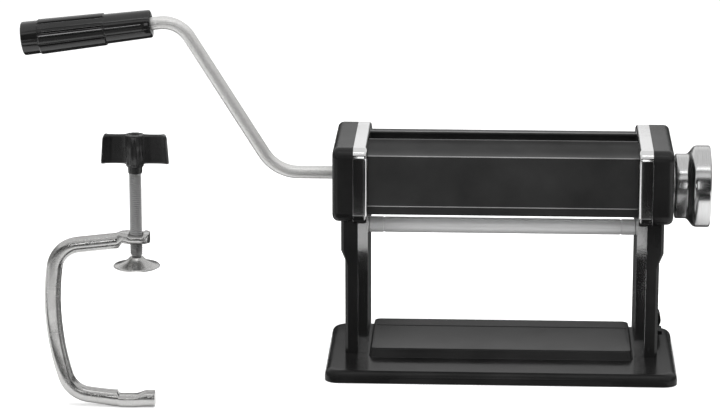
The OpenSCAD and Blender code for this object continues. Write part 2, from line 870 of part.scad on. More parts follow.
// Bearings of the driven roller
module drive_bushes() color(bronze_finish) both_sides() on_drive() difference() {
    union() {
        bar(roller_end_x + easy_fit, plate_out_x + bush_flange_t, bush_r - press_fit);
        bar(plate_out_x + seat_gap, plate_out_x + bush_flange_t, bush_flange_r);
    }
    bar(roller_end_x, plate_out_x + bush_flange_t + cut, drive_journal_r + running_fit);
}

// Brackets that guide the front roller's bearing blocks and carry the dial shaft
module at_bracket_screws() for (y = [selector_y - bracket_screw_back, selector_y + bracket_screw_back],
        side = [-1, 1])
    translate([0, y, axis_z + side * (rail_z + rail_t / 2)]) children();

module guide_bracket() difference() {
    union() {
        translate([0, selector_y, axis_z]) {
            block_between([bracket_x, -rail_front, -rail_z - rail_t],
                [bracket_end_x, bracket_back, rail_z + rail_t]);
            for (side = [0, 1]) mirror([0, 0, side]) {
                block_between([plate_out_x + seat_gap, -rail_front, rail_z],
                    [bracket_x, rail_back, rail_z + rail_t]);
                block_between([tab_x, rail_back - tab_t, tab_low],
                    [bracket_x, rail_back, rail_z + rail_t]);
            }
        }
    }
    on_selector() bar(bracket_x - cut, bracket_end_x + cut, selector_bush_r);
    at_bracket_screws() bar(plate_x, bracket_end_x + cut, bracket_screw_r + press_fit);
}

module guide_brackets() color(zinc_finish) both_sides() guide_bracket();

module bracket_screws() color(zinc_finish) both_sides() at_bracket_screws() {
    bar(plate_x + seat_gap, bracket_end_x + cut, bracket_screw_r);
    bar(bracket_end_x + seat_gap, bracket_end_x + bracket_screw_head_t, bracket_screw_head_r);
}

module selector_bushes() color(bronze_finish) both_sides() on_selector()
    tube(bracket_x - easy_fit, bracket_end_x, selector_bush_r - press_fit, selector_r + running_fit);

// Driven roller
module rod_socket(x0, x1) difference() {
    bar(x0, x1, crank_r + running_fit);
    block_between([x0 - cut, -crank_d, rod_flat + running_fit], [x1 + cut, crank_d, crank_d]);
}

module drive_roller() color(steel_finish) on_drive() difference() {
    union() {
        bar(-roller_left_x, roller_end_x, roller_r);
        bar(-roller_end_x, -roller_left_x, gap_journal_r);
        bar(-drive_shaft_out_x, -roller_end_x, drive_journal_r);
        bar(roller_end_x, drive_tail_x, drive_journal_r);
    }
    rod_socket(-drive_shaft_out_x - cut, side_play - crank_start_x);
}

// Gears with long slim teeth, so that they stay in mesh at every gap
module gear_outline(turned) for (i = [0:gear_teeth - 1])
    rotate(turned + i * 360 / gear_teeth) polygon([[0, -gear_root_w / 2],
        [gear_root_r, -gear_root_w / 2], [gear_tip_r, -gear_tip_w / 2],
        [gear_tip_r, gear_tip_w / 2], [gear_root_r, gear_root_w / 2], [0, gear_root_w / 2]]);

module roller_gear(turned) along_x(-gear_out_x) difference() {
    linear_extrude(height = gear_w) union() {
        gear_outline(turned);
        circle(r = gear_root_r);
    }
    translate([0, 0, -cut]) cylinder(h = gear_w + 2 * cut, r = gap_journal_r + press_fit);
}

module drive_gear() color(zinc_finish) on_drive() roller_gear(0);

module gap_gear() color(zinc_finish) on_gap_roller() roller_gear(180 / gear_teeth);

// Front roller, hollow so that the dial's shaft can pass through it
module gap_roller() color(steel_finish) on_gap_roller() difference() {
    union() {
        bar(-roller_left_x, roller_end_x, roller_r);
        bar(-gap_journal_end_x, gap_journal_end_x, gap_journal_r);
    }
    bar(-gap_journal_end_x - cut, gap_journal_end_x + cut, gap_bore_r);
}

module bearing_block() {
    lug_y = selector_y + cam_low_r + cam_touch_gap;
    difference() {
        translate([0, gap_y, axis_z])
            block_between([block_x, -block_half, -block_half], [block_end_x, block_half, block_half]);
        on_gap_roller() bar(block_x - cut, block_end_x + cut, gap_journal_r + running_fit);
    }
    block_between([block_end_x - cut, lug_y, axis_z - lug_half_h],
        [cam_end_x, lug_y + lug_w, axis_z + lug_half_h]);
}

module bearing_blocks() color(bronze_finish) both_sides() difference() {
    bearing_block();
    on_gap_roller() bar(block_x - cut, block_end_x, gap_journal_r + running_fit);
}

module block_springs() {
    y0 = gap_y + block_half + seat_gap;
    y1 = selector_y + rail_back - tab_t - seat_gap;
    spring_x = (tab_x + bracket_x) / 2 - tab_t;
    color(steel_finish) both_sides() for (side = [-1, 1])
        translate([spring_x, y0, axis_z + side * spring_up]) rotate([-90, 0, 0]) difference() {
            cylinder(h = y1 - y0, r = spring_r);
            translate([0, 0, -cut]) cylinder(h = y1 - y0 + 2 * cut, r = spring_r - spring_wire);
        }
}

// Dial shaft and its cams, whose radius grows evenly with the angle
function cam_radius(a) =
    a <= dial_turn_angle ? cam_low_r + gap_travel * a / dial_turn_angle :
    a <= dial_turn_angle + cam_dwell_angle ? cam_low_r + gap_travel :
    a >= 360 - cam_dwell_angle ? cam_low_r :
    cam_low_r + gap_travel * (360 - cam_dwell_angle - a) / (360 - dial_turn_angle - 2 * cam_dwell_angle);

module gap_cams() color(zinc_finish) both_sides() on_selector() along_x(cam_x) difference() {
    linear_extrude(height = cam_w) polygon([for (i = [0:cam_steps - 1])
        let (a = i * 360 / cam_steps) cam_radius(a) * [cos(a), -sin(a)]]);
    translate([0, 0, -cut]) cylinder(h = cam_w + 2 * cut, r = selector_r + press_fit);
}

module selector_shaft() color(steel_finish) on_selector() difference() {
    bar(-bracket_end_x - side_play, shaft_end_x, selector_r);
    bar(shaft_end_x - shaft_screw_l, shaft_end_x + cut, shaft_screw_r + press_fit);
    block_between([shaft_end_x - shaft_flat_l, -selector_d, shaft_flat],
        [shaft_end_x + cut, selector_d, selector_d]);
}

module shaft_screw() color(zinc_finish) on_selector() {
    bar(shaft_end_x - shaft_screw_l + side_play, shaft_end_x + washer_t, shaft_screw_r);
    bar(shaft_end_x + seat_gap, shaft_end_x + washer_t, washer_r);
    bar(shaft_end_x + washer_t, shaft_end_x + washer_t + shaft_screw_head_t, shaft_screw_head_r);
}

module knob_spring() color(steel_finish) on_selector()
    tube(knob_x + knob_key_l + seat_gap, shaft_end_x, knob_spring_r,
        knob_spring_r - knob_spring_wall);

// Index plate with a clear track and one pocket for each setting
module index_plate() color(zinc_finish) on_selector() difference() {
    union() {
        bar(bracket_end_x + seat_gap, cover_in_x, index_hub_r);
        bar(cover_in_x - index_flange_t, cover_in_x - seat_gap, index_flange_r);
        bar(cover_in_x - seat_gap, index_face_x, index_disc_r);
    }
    bar(bracket_end_x - cut, index_face_x + cut, selector_r + easy_fit);
    along_x(index_face_x - groove_depth) rotate(pin_start_angle) rotate_extrude(angle = dial_turn_angle)
        translate([pin_circle_r - pin_r - groove_gap, 0])
        square([2 * (pin_r + groove_gap), groove_depth + cut]);
    for (i = [0:dial_settings - 1]) {
        a = pin_start_angle + i * dial_turn_angle / (dial_settings - 1);
        translate([0, pin_circle_r * cos(a), pin_circle_r * sin(a)])
            bar(index_face_x - pocket_depth, index_face_x + cut, pin_r + pocket_extra_r);
    }
}

// Dial knob
module at_pin() translate([0, pin_circle_r * cos(pin_start_angle), pin_circle_r * sin(pin_start_angle)])
    children();

module thickness_knob() color(chrome_finish) on_selector() difference() {
    neck_r = knob_neck_d / 2;
    rim_r = knob_rim_d / 2;
    along_x(0) rotate_extrude() polygon(concat(
        [[0, knob_x], [neck_r - knob_edge, knob_x], [neck_r, knob_x + knob_edge]],
        [for (a = [0:15:90]) [neck_r + (rim_r - neck_r) * (1 - cos(a)),
            knob_neck_x + knob_flare_l * sin(a)]],
        [[rim_r, knob_end_x - knob_edge], [rim_r - knob_edge, knob_end_x], [0, knob_end_x]]));
    difference() {
        bar(knob_x - cut, knob_end_x, selector_r + running_fit);
        block_between([knob_x - 2 * cut, -selector_d, shaft_flat + running_fit],
            [knob_x + knob_key_l, selector_d, selector_d]);
    }
    bar(knob_x + knob_key_l, knob_end_x - cap_t, knob_cavity_r);
    bar(knob_end_x - cap_t, knob_end_x + cut, cap_r);
    at_pin() bar(knob_x - cut, knob_x + pin_seat, pin_r + press_fit);
}

module index_pin() color(steel_finish) on_selector() at_pin()
    bar(index_face_x - pin_out, knob_x + pin_seat - seat_gap, pin_r);

module knob_cap() color(chrome_finish) on_selector()
    bar(knob_end_x - cap_t + seat_gap, knob_end_x - cap_sink, cap_r - press_fit);

// Crank
module crank_rod() color(zinc_finish) translate([0, drive_y, 0]) difference() {
    union() {
        bent_rod(crank_r, crank_stations);
        translate([crank_end[0], 0, crank_end[1]]) rotate([0, -90 - handle_droop, 0]) {
            translate([0, 0, -film]) cylinder(h = rod_tip_l + film, r = rod_tip_r);
            translate([0, 0, rod_tip_l]) cylinder(h = rivet_head_l, r = rivet_head_r);
        }
    }
    block_between([-drive_shaft_out_x - side_play, -crank_d, axis_z + rod_flat],
        [cut - crank_start_x, crank_d, axis_z + crank_d]);
}

module in_grip() translate([grip_x, drive_y, grip_z]) rotate([0, -90 - handle_droop, 0])
    children();

module grip_washer() color(steel_finish) in_grip() {
    washer_z = rod_in_grip_l + seat_gap;
    translate([0, 0, washer_z]) difference() {
        cylinder(h = grip_washer_t, r = grip_washer_r);
        translate([0, 0, -cut]) cylinder(h = grip_washer_t + 2 * cut, r = rod_tip_r + press_fit);
    }
}

module crank_grip() color(black_plastic) in_grip() {
    near_r = grip_near_d / 2;
    far_r = grip_far_d / 2;
    flute_mid_r = (near_r + far_r) / 2;
    lean = atan((far_r - near_r) / grip_l);
    difference() {
        rotate_extrude() polygon([[0, 0], [near_r - grip_edge, 0], [near_r, grip_edge],
            [far_r, grip_l - grip_edge], [far_r - grip_edge, grip_l], [0, grip_l]]);
        translate([0, 0, -cut]) cylinder(h = grip_l + 2 * cut, r = crank_r + running_fit);
        translate([0, 0, grip_l - grip_end_recess])
            cylinder(h = grip_end_recess + cut, r = grip_recess_r);
        for (i = [0:flute_count - 1]) rotate(i * 360 / flute_count)
            translate([near_r + flute_r - flute_depth, 0, 0]) rotate([0, lean, 0]) {
                translate([0, 0, flute_start])
                    cylinder(h = grip_l - grip_collar_l - flute_start, r = flute_r);
                for (z = [flute_start, grip_l - grip_collar_l])
                    translate([0, 0, z]) sphere(r = flute_r);
            }
    }
}

// Table clamp
module clamp_frame() color(chrome_finish) translate([0, clamp_y, 0]) difference() {
    union() {
        bent_rod(clamp_rod_d / 2, clamp_stations);
        hull() {
            $fn = hull_fn;
            translate([clamp_x, 0, eye_z]) cylinder(h = eye_t, r = eye_r);
            translate([arm_start_x, 0, arm_start_z]) rotate([0, -90 - clamp_arm_angle, 0])
                cylinder(h = film, r = clamp_rod_d / 2);
        }
        translate([0, 0, stub_r]) bar(stub_x - clamp_rod_d / 2, stub_x + stub_l, stub_r);
    }
    translate([clamp_x, 0, eye_z - clamp_rod_d])
        cylinder(h = 2 * clamp_rod_d + eye_t, r = clamp_screw_d / 2 + running_fit);
    block_between([stub_x + notch_in, -notch_half_w, 2 * stub_r - notch_depth],
        [stub_x + notch_in + notch_l, notch_half_w, 3 * stub_r]);
}

module on_clamp_screw() translate([clamp_x, clamp_y, 0]) children();

module pressure_foot() color(zinc_finish) on_clamp_screw() {
    foot_r = foot_d / 2;
    translate([0, 0, foot_z]) difference() {
        rotate_extrude() polygon([[0, 0], [foot_r - foot_face_in, 0], [foot_r, foot_edge_lift],
            [foot_r, foot_edge_t], [foot_hub_r + foot_face_in, foot_t - foot_edge_t - foot_edge_lift],
            [foot_hub_r, foot_t], [0, foot_t]]);
        translate([0, 0, foot_t - tip_in]) cylinder(h = tip_in + cut, r = tip_r + running_fit);
    }
}

module clamp_screw() color(zinc_finish) on_clamp_screw() {
    crest = clamp_screw_d / 2;
    z0 = foot_z + thread_start;
    z1 = wing_z - collar_l;
    turns = floor((z1 - z0) / screw_pitch);
    translate([0, 0, foot_z + foot_t - tip_in + seat_gap])
        cylinder(h = thread_start - foot_t + tip_in, r = tip_r);
    translate([0, 0, z0]) rotate_extrude() polygon(concat([[0, 0], [tip_r, 0]],
        [for (i = [0:turns - 1], k = [0, 1])
            [k == 0 ? thread_root_r : crest, (i + k / 2) * screw_pitch]],
        [[thread_root_r, turns * screw_pitch], [thread_root_r, z1 - z0], [0, z1 - z0]]));
    translate([0, 0, z1 - film]) cylinder(h = wing_bore_l + film, r = wing_stem_r);
}

module wing_knob() color(black_plastic) on_clamp_screw() translate([0, 0, wing_z]) {
    difference() {
        union() {
            rotate_extrude() polygon([[0, -collar_l], [collar_low_r, -collar_l],
                [wing_hub_r, 0], [wing_hub_r, wing_h], [0, wing_h]]);
            rotate([90, 0, 0]) translate([0, 0, -wing_t / 2]) linear_extrude(height = wing_t)
                polygon([[-wing_w / 2, 0], [wing_w / 2, 0], [wing_w / 2 - wing_taper, wing_h - wing_corner_r],
                    [wing_w / 2 - wing_taper - wing_corner_r, wing_h],
                    [wing_taper + wing_corner_r - wing_w / 2, wing_h],
                    [wing_taper - wing_w / 2, wing_h - wing_corner_r]]);
        }
        translate([0, 0, -collar_l - cut])
            cylinder(h = wing_bore_l + cut + seat_gap, r = wing_stem_r + press_fit);
    }
}

base_tray();
anti_slip_mat();
base_screws();
base_nuts();
clamp_socket();
left_frame();
right_frame();
left_leg_cover();
right_leg_cover();
leg_cover_screws();
left_end_cover();
right_end_cover();
end_cover_screws();
front_cover();
rear_cover();
tie_rod();
cross_bars();
frame_screws();
front_scraper();
rear_scraper();
drive_bushes();
guide_brackets();
bracket_screws();
selector_bushes();
index_plate();
drive_roller();
drive_gear();
bearing_blocks();
block_springs();
gap_roller();
gap_gear();
selector_shaft();
gap_cams();
shaft_screw();
knob_spring();
thickness_knob();
index_pin();
knob_cap();
crank_rod();
grip_washer();
crank_grip();
clamp_frame();
pressure_foot();
clamp_screw();
wing_knob();
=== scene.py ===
"""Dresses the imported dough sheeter: pressed base, chromed side frames, covers, dial, crank and clamp."""

import json
import logging
import math
from dataclasses import dataclass, field
from enum import Enum
from typing import Callable, Sequence

import bmesh
import bpy
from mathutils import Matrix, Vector


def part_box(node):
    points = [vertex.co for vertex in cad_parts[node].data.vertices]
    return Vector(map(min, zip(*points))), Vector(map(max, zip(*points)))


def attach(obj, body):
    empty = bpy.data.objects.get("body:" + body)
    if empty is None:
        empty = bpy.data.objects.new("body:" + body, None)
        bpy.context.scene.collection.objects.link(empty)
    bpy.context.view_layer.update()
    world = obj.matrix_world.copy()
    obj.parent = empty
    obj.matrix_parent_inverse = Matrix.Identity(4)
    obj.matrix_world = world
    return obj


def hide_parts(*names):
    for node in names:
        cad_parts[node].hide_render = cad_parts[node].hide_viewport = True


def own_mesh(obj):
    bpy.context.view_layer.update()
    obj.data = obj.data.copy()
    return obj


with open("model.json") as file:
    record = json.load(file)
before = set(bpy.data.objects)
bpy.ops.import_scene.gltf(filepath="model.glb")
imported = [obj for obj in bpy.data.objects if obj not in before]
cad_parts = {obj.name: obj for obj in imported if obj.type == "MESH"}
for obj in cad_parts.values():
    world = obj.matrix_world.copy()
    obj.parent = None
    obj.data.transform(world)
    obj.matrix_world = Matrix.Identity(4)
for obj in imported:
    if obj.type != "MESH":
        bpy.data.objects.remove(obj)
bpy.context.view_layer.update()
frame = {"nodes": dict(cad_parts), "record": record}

MM = 0.001
SHARP_ANGLE = math.radians(34)
MERGE_DISTANCE = 2e-6
FLAT_ANGLE = math.radians(0.4)
CLOSED_R = 1e-5
CORNER_STEPS = 8
STRAIGHT_STEP = 6.0
ROUND_POWER = 2.0
# By these a plain screw's head is told from its shank: shares of its radius and length, and millimetres.
RIM_SHARE = 0.9
HEAD_SHARE = 0.4
BELOW_HEAD = 0.2
LEAST_SHANK = 0.3
Station = tuple[float, float, float, float]
Section = tuple[float, float, float, float]
log = logging.getLogger("sheeter")


class Axis(Enum):
    """Direction that a turned piece lies along, with the direction its first point faces."""

    ALONG_X = ((1, 0, 0), (0, 0, 1))
    ALONG_Z = ((0, 0, 1), (1, 0, 0))


class Grain(Enum):
    """Lines or specks a metre of a metal's grain along X, Y and Z."""

    LONG_X = (40, 2400, 2400)
    TURNED_X = (2600, 90, 90)
    EVEN = (900, 900, 900)
    FINE = (2200, 2200, 2200)


class Effect(Enum):
    """The shader groups that the finishes share."""

    SMUDGE = "smudge"
    PEEL = "peel"
    GRAIN = "grain"
    MOTTLE = "mottle"


class Growth(Enum):
    """The Geometry Nodes trees."""

    SCREWS = "screws"
    COIL = "coil"
    THREAD = "thread"


@dataclass
class Wiring:
    """Adds nodes to a tree and joins them."""

    tree: bpy.types.NodeTree

    def add(self, kind: str, inputs: dict | None = None, **settings: object) -> bpy.types.Node:
        """Adds one node.

        Args:
            kind: Blender's name for the node.
            inputs: Socket name or number to a value, or to another node's output.
            settings: Attributes of the node.

        Returns:
            The node.
        """
        node = self.tree.nodes.new(kind)
        for key, value in settings.items():
            setattr(node, key, value)
        for key, value in (inputs or {}).items():
            if isinstance(value, bpy.types.NodeSocket):
                self.tree.links.new(value, node.inputs[key])
            else:
                node.inputs[key].default_value = value
        return node

    def join(self, source: bpy.types.NodeSocket, target: bpy.types.NodeSocket) -> None:
        """Joins an output to an input."""
        self.tree.links.new(source, target)


def new_group(name: str, kind: str, ins: Sequence[tuple], outs: Sequence[tuple]) -> tuple:
    """Makes an empty node group with named sockets.

    Args:
        name: Name of the group.
        kind: Blender's tree type.
        ins: Rows of socket name, socket type and default value or None.
        outs: Rows of socket name and socket type.

    Returns:
        The tree, its wiring, its input node and its output node.
    """
    tree = bpy.data.node_groups.new(name, kind)
    for label, socket, value in ins:
        made = tree.interface.new_socket(name=label, in_out="INPUT", socket_type=socket)
        if value is not None:
            made.default_value = value
    for label, socket in outs:
        tree.interface.new_socket(name=label, in_out="OUTPUT", socket_type=socket)
    wiring = Wiring(tree)
    return tree, wiring, wiring.add("NodeGroupInput"), wiring.add("NodeGroupOutput")


def put(name: str, data: bpy.types.ID) -> bpy.types.Object:
    """Puts an object with the given data in the scene, and returns it."""
    made = bpy.data.objects.new(name, data)
    bpy.context.collection.objects.link(made)
    return made


def bare_material(name: str) -> tuple[bpy.types.Material, Wiring, bpy.types.Node]:
    """Makes a material with nothing but its output.

    Args:
        name: Its name.

    Returns:
        The material, its nodes and its output node.
    """
    made = bpy.data.materials.new(name)
    made.use_nodes = True
    made.node_tree.nodes.clear()
    wiring = Wiring(made.node_tree)
    return made, wiring, wiring.add("ShaderNodeOutputMaterial")


class SurfaceEffects:
    """The shader groups that the finishes share, each built once."""

    _built: dict[Effect, bpy.types.NodeTree] = {}

    @classmethod
    def get(cls, effect: Effect) -> bpy.types.NodeTree:
        """Returns a shared group, built at its first use.

        Args:
            effect: Which group.

        Returns:
            The group's tree.
        """
        makers = {Effect.SMUDGE: cls._smudge, Effect.PEEL: cls._peel, Effect.GRAIN: cls._grain,
                  Effect.MOTTLE: cls._mottle}
        if effect not in cls._built:
            cls._built[effect] = makers[effect]()
        return cls._built[effect]

    @staticmethod
    def _smudge() -> bpy.types.NodeTree:
        """Roughness that wanders between two values, with broad handling marks and fine specks.

        Returns:
            The group's tree.
        """
        tree, wiring, given, out = new_group(Effect.SMUDGE.value, "ShaderNodeTree", [
            ("Vector", "NodeSocketVector", None), ("Scale", "NodeSocketFloat", 30.0),
            ("Low", "NodeSocketFloat", 0.2), ("High", "NodeSocketFloat", 0.4),
        ], [("Roughness", "NodeSocketFloat")])
        broad = wiring.add("ShaderNodeTexNoise", {
            "Vector": given.outputs["Vector"], "Scale": given.outputs["Scale"],
            "Detail": 5.0, "Roughness": 0.62, "Distortion": 0.6})
        fine_scale = wiring.add("ShaderNodeMath", {0: given.outputs["Scale"], 1: 23.0},
                                operation="MULTIPLY")
        fine = wiring.add("ShaderNodeTexNoise", {
            "Vector": given.outputs["Vector"], "Scale": fine_scale.outputs[0], "Detail": 2.0})
        blend = wiring.add("ShaderNodeMix", {
            "Factor": 0.25, "A": broad.outputs["Fac"], "B": fine.outputs["Fac"]})
        spread = wiring.add("ShaderNodeMapRange", {
            "Value": blend.outputs["Result"], "From Min": 0.36, "From Max": 0.66,
            "To Min": given.outputs["Low"], "To Max": given.outputs["High"]})
        wiring.join(spread.outputs["Result"], out.inputs["Roughness"])
        return tree

    @staticmethod
    def _peel() -> bpy.types.NodeTree:
        """Soft skin of sprayed paint or of moulded plastic, as a height.

        Returns:
            The group's tree.
        """
        tree, wiring, given, out = new_group(Effect.PEEL.value, "ShaderNodeTree", [
            ("Vector", "NodeSocketVector", None), ("Scale", "NodeSocketFloat", 400.0),
            ("Wave Scale", "NodeSocketFloat", 18.0), ("Wave", "NodeSocketFloat", 0.5),
        ], [("Height", "NodeSocketFloat")])
        skin = wiring.add("ShaderNodeTexNoise", {
            "Vector": given.outputs["Vector"], "Scale": given.outputs["Scale"], "Detail": 2.0})
        wave = wiring.add("ShaderNodeTexNoise", {
            "Vector": given.outputs["Vector"], "Scale": given.outputs["Wave Scale"], "Detail": 1.0})
        blend = wiring.add("ShaderNodeMix", {
            "Factor": given.outputs["Wave"], "A": skin.outputs["Fac"], "B": wave.outputs["Fac"]})
        wiring.join(blend.outputs["Result"], out.inputs["Height"])
        return tree

    @staticmethod
    def _grain() -> bpy.types.NodeTree:
        """Fine lines or specks of a worked metal, as a height and as a tint.

        Returns:
            The group's tree.
        """
        tree, wiring, given, out = new_group(Effect.GRAIN.value, "ShaderNodeTree", [
            ("Vector", "NodeSocketVector", None), ("Scale", "NodeSocketVector", (900, 900, 900)),
            ("Dark", "NodeSocketColor", (0.4, 0.4, 0.4, 1)),
            ("Light", "NodeSocketColor", (0.8, 0.8, 0.8, 1)),
        ], [("Height", "NodeSocketFloat"), ("Colour", "NodeSocketColor")])
        stretched = wiring.add("ShaderNodeMapping", {
            "Vector": given.outputs["Vector"], "Scale": given.outputs["Scale"]})
        lines = wiring.add("ShaderNodeTexNoise", {
            "Vector": stretched.outputs["Vector"], "Scale": 1.0, "Detail": 3.0, "Roughness": 0.6})
        tint = wiring.add("ShaderNodeMix", {
            "Factor": lines.outputs["Fac"], "A": given.outputs["Dark"],
            "B": given.outputs["Light"]}, data_type="RGBA")
        wiring.join(lines.outputs["Fac"], out.inputs["Height"])
        wiring.join(tint.outputs["Result"], out.inputs["Colour"])
        return tree

    @staticmethod
    def _mottle() -> bpy.types.NodeTree:
        """Slow drift between two colours, as in a dyed plastic or a plated metal.

        Returns:
            The group's tree.
        """
        tree, wiring, given, out = new_group(Effect.MOTTLE.value, "ShaderNodeTree", [
            ("Vector", "NodeSocketVector", None), ("Scale", "NodeSocketFloat", 25.0),
            ("First", "NodeSocketColor", (0.1, 0.1, 0.1, 1)),
            ("Second", "NodeSocketColor", (0.2, 0.2, 0.2, 1)),
        ], [("Colour", "NodeSocketColor")])
        drift = wiring.add("ShaderNodeTexNoise", {
            "Vector": given.outputs["Vector"], "Scale": given.outputs["Scale"],
            "Detail": 4.0, "Roughness": 0.55})
        spread = wiring.add("ShaderNodeMapRange", {
            "Value": drift.outputs["Fac"], "From Min": 0.33, "From Max": 0.67,
            "To Min": 0.0, "To Max": 1.0})
        mixed = wiring.add("ShaderNodeMix", {
            "Factor": spread.outputs["Result"], "A": given.outputs["First"],
            "B": given.outputs["Second"]}, data_type="RGBA")
        wiring.join(mixed.outputs["Result"], out.inputs["Colour"])
        return tree


def shade(level: float, tint: tuple[float, float, float] = (1.0, 1.0, 1.0)) -> tuple:
    """Returns a linear colour of an even level with a slight tint."""
    return (level * tint[0], level * tint[1], level * tint[2], 1.0)


@dataclass(frozen=True)
class Finish:
    """What the finishes have in common: a Principled surface read in Object coordinates."""

    name: str

    def material(self) -> bpy.types.Material:
        """Returns the finish's material, built at its first use."""
        made = bpy.data.materials.get(self.name)
        if made is None:
            made, wiring, out = bare_material(self.name)
            surface = wiring.add("ShaderNodeBsdfPrincipled")
            wiring.join(surface.outputs["BSDF"], out.inputs["Surface"])
            place = wiring.add("ShaderNodeTexCoord").outputs["Object"]
            self.dress(wiring, surface, place)
        return made

    def dress(self, wiring: Wiring, surface: bpy.types.Node, place: bpy.types.NodeSocket) -> None:
        """Sets the surface's sockets; each finish has its own.

        Args:
            wiring: The material's nodes.
            surface: The Principled surface.
            place: Object coordinates, in metres.
        """
        raise NotImplementedError

    @staticmethod
    def effect(wiring: Wiring, effect: Effect, inputs: dict) -> bpy.types.Node:
        """Places a shared group in a material.

        Args:
            wiring: The material's nodes.
            effect: Which group.
            inputs: The group's own values here.

        Returns:
            The group's node.
        """
        return wiring.add("ShaderNodeGroup", inputs, node_tree=SurfaceEffects.get(effect))

    @staticmethod
    def bump(wiring: Wiring, surface: bpy.types.Node, height: bpy.types.NodeSocket,
             strength: float, depth: float) -> None:
        """Lets a height tilt the surface's normal.

        Args:
            wiring: The material's nodes.
            surface: The Principled surface.
            height: The height that varies over the surface.
            strength: Share of the tilt that is used.
            depth: Height of the relief in metres.
        """
        bump = wiring.add("ShaderNodeBump", {
            "Strength": strength, "Distance": depth, "Height": height})
        wiring.join(bump.outputs["Normal"], surface.inputs["Normal"])


@dataclass(frozen=True)
class Skin(Finish):
    """Paint, moulded plastic or rubber: a dark body under a skin with its own gloss."""

    colour: float = 0.012
    drift: float = 0.3
    rough: tuple[float, float] = (0.2, 0.3)
    smudge_scale: float = 25.0
    peel_scale: float = 500.0
    wave: float = 0.4
    peel_strength: float = 0.2
    peel_depth: float = 0.00005
    specular: float = 0.5

    def dress(self, wiring: Wiring, surface: bpy.types.Node, place: bpy.types.NodeSocket) -> None:
        """Sets colour, gloss and skin.

        Args:
            wiring: The material's nodes.
            surface: The Principled surface.
            place: Object coordinates, in metres.
        """
        colour = self.effect(wiring, Effect.MOTTLE, {
            "Vector": place, "First": shade(self.colour * (1 - self.drift)),
            "Second": shade(self.colour * (1 + self.drift))})
        wiring.join(colour.outputs["Colour"], surface.inputs["Base Color"])
        gloss = self.effect(wiring, Effect.SMUDGE, {
            "Vector": place, "Scale": self.smudge_scale, "Low": self.rough[0], "High": self.rough[1]})
        wiring.join(gloss.outputs["Roughness"], surface.inputs["Roughness"])
        skin = self.effect(wiring, Effect.PEEL, {
            "Vector": place, "Scale": self.peel_scale, "Wave": self.wave})
        self.bump(wiring, surface, skin.outputs["Height"], self.peel_strength, self.peel_depth)
        surface.inputs["Specular IOR Level"].default_value = self.specular


@dataclass(frozen=True)
class Metal(Finish):
    """Bare or plated metal with its grain, tint and wandering gloss."""

    dark: float = 0.5
    light: float = 0.7
    tint: tuple[float, float, float] = (1.0, 1.0, 1.0)
    rough: tuple[float, float] = (0.2, 0.32)
    smudge_scale: float = 35.0
    grain: Grain = Grain.EVEN
    grain_strength: float = 0.25
    grain_depth: float = 0.00003
    metallic: float = 1.0

    def dress(self, wiring: Wiring, surface: bpy.types.Node, place: bpy.types.NodeSocket) -> None:
        """Sets tint, gloss and grain.

        Args:
            wiring: The material's nodes.
            surface: The Principled surface.
            place: Object coordinates, in metres.
        """
        surface.inputs["Metallic"].default_value = self.metallic
        worked = self.effect(wiring, Effect.GRAIN, {
            "Vector": place, "Scale": self.grain.value, "Dark": shade(self.dark, self.tint),
            "Light": shade(self.light, self.tint)})
        wiring.join(worked.outputs["Colour"], surface.inputs["Base Color"])
        gloss = self.effect(wiring, Effect.SMUDGE, {
            "Vector": place, "Scale": self.smudge_scale, "Low": self.rough[0], "High": self.rough[1]})
        wiring.join(gloss.outputs["Roughness"], surface.inputs["Roughness"])
        self.relieve(wiring, surface, place, worked.outputs["Height"])

    def relieve(self, wiring: Wiring, surface: bpy.types.Node, place: bpy.types.NodeSocket,
                grain: bpy.types.NodeSocket) -> None:
        """Tilts the surface along its relief, here that of the grain.

        Args:
            wiring: The material's nodes.
            surface: The Principled surface.
            place: Object coordinates, in metres.
            grain: The grain's height.
        """
        self.bump(wiring, surface, grain, self.grain_strength, self.grain_depth)


@dataclass(frozen=True)
class Chrome(Metal):
    """Plating on pressed steel, whose sheet shows through as slow waves in the reflections."""

    skin_scale: float = 700.0
    wave_scale: float = 55.0
    wave: float = 0.93
    wave_strength: float = 0.5
    wave_depth: float = 0.00018

    def relieve(self, wiring: Wiring, surface: bpy.types.Node, place: bpy.types.NodeSocket,
                grain: bpy.types.NodeSocket) -> None:
        """Tilts the surface along the sheet's waves, which take the place of the grain's relief.

        Args:
            wiring: The material's nodes.
            surface: The Principled surface.
            place: Object coordinates, in metres.
            grain: The grain's height, not used here.
        """
        sheet = self.effect(wiring, Effect.PEEL, {
            "Vector": place, "Scale": self.skin_scale, "Wave Scale": self.wave_scale,
            "Wave": self.wave})
        self.bump(wiring, surface, sheet.outputs["Height"], self.wave_strength, self.wave_depth)


BASE_PAINT = Skin("base_paint", colour=0.009, rough=(0.15, 0.24), peel_strength=0.12, specular=0.14)
COVER_PAINT = Skin("cover_paint", colour=0.017, rough=(0.34, 0.42), peel_strength=0.12,
                   peel_scale=900.0, specular=0.3)
# Lighter than the cover paint: a painted highlight along the covers' pressed bends.
COVER_BEND_HIGHLIGHT = Skin("cover_bend_highlight", colour=0.2, rough=(0.3, 0.4), peel_strength=0.1)
COVER_PLASTIC = Skin("cover_plastic", colour=0.009, rough=(0.2, 0.28), peel_scale=800.0,
                     peel_strength=0.08, specular=0.24)
GRIP_PLASTIC = Skin("grip_plastic", colour=0.007, rough=(0.08, 0.2), smudge_scale=90.0,
                    peel_scale=300.0, wave=0.3, peel_strength=0.2, specular=0.6)
WING_PLASTIC = Skin("wing_plastic", colour=0.008, rough=(0.15, 0.3), smudge_scale=60.0,
                    peel_scale=500.0, peel_strength=0.15)
MAT_RUBBER = Skin("mat_rubber", colour=0.02, rough=(0.6, 0.8), peel_scale=1400.0, peel_strength=0.6,
                  specular=0.3)
FRAME_CHROME = Chrome("frame_chrome", dark=0.78, light=0.86, rough=(0.05, 0.11))
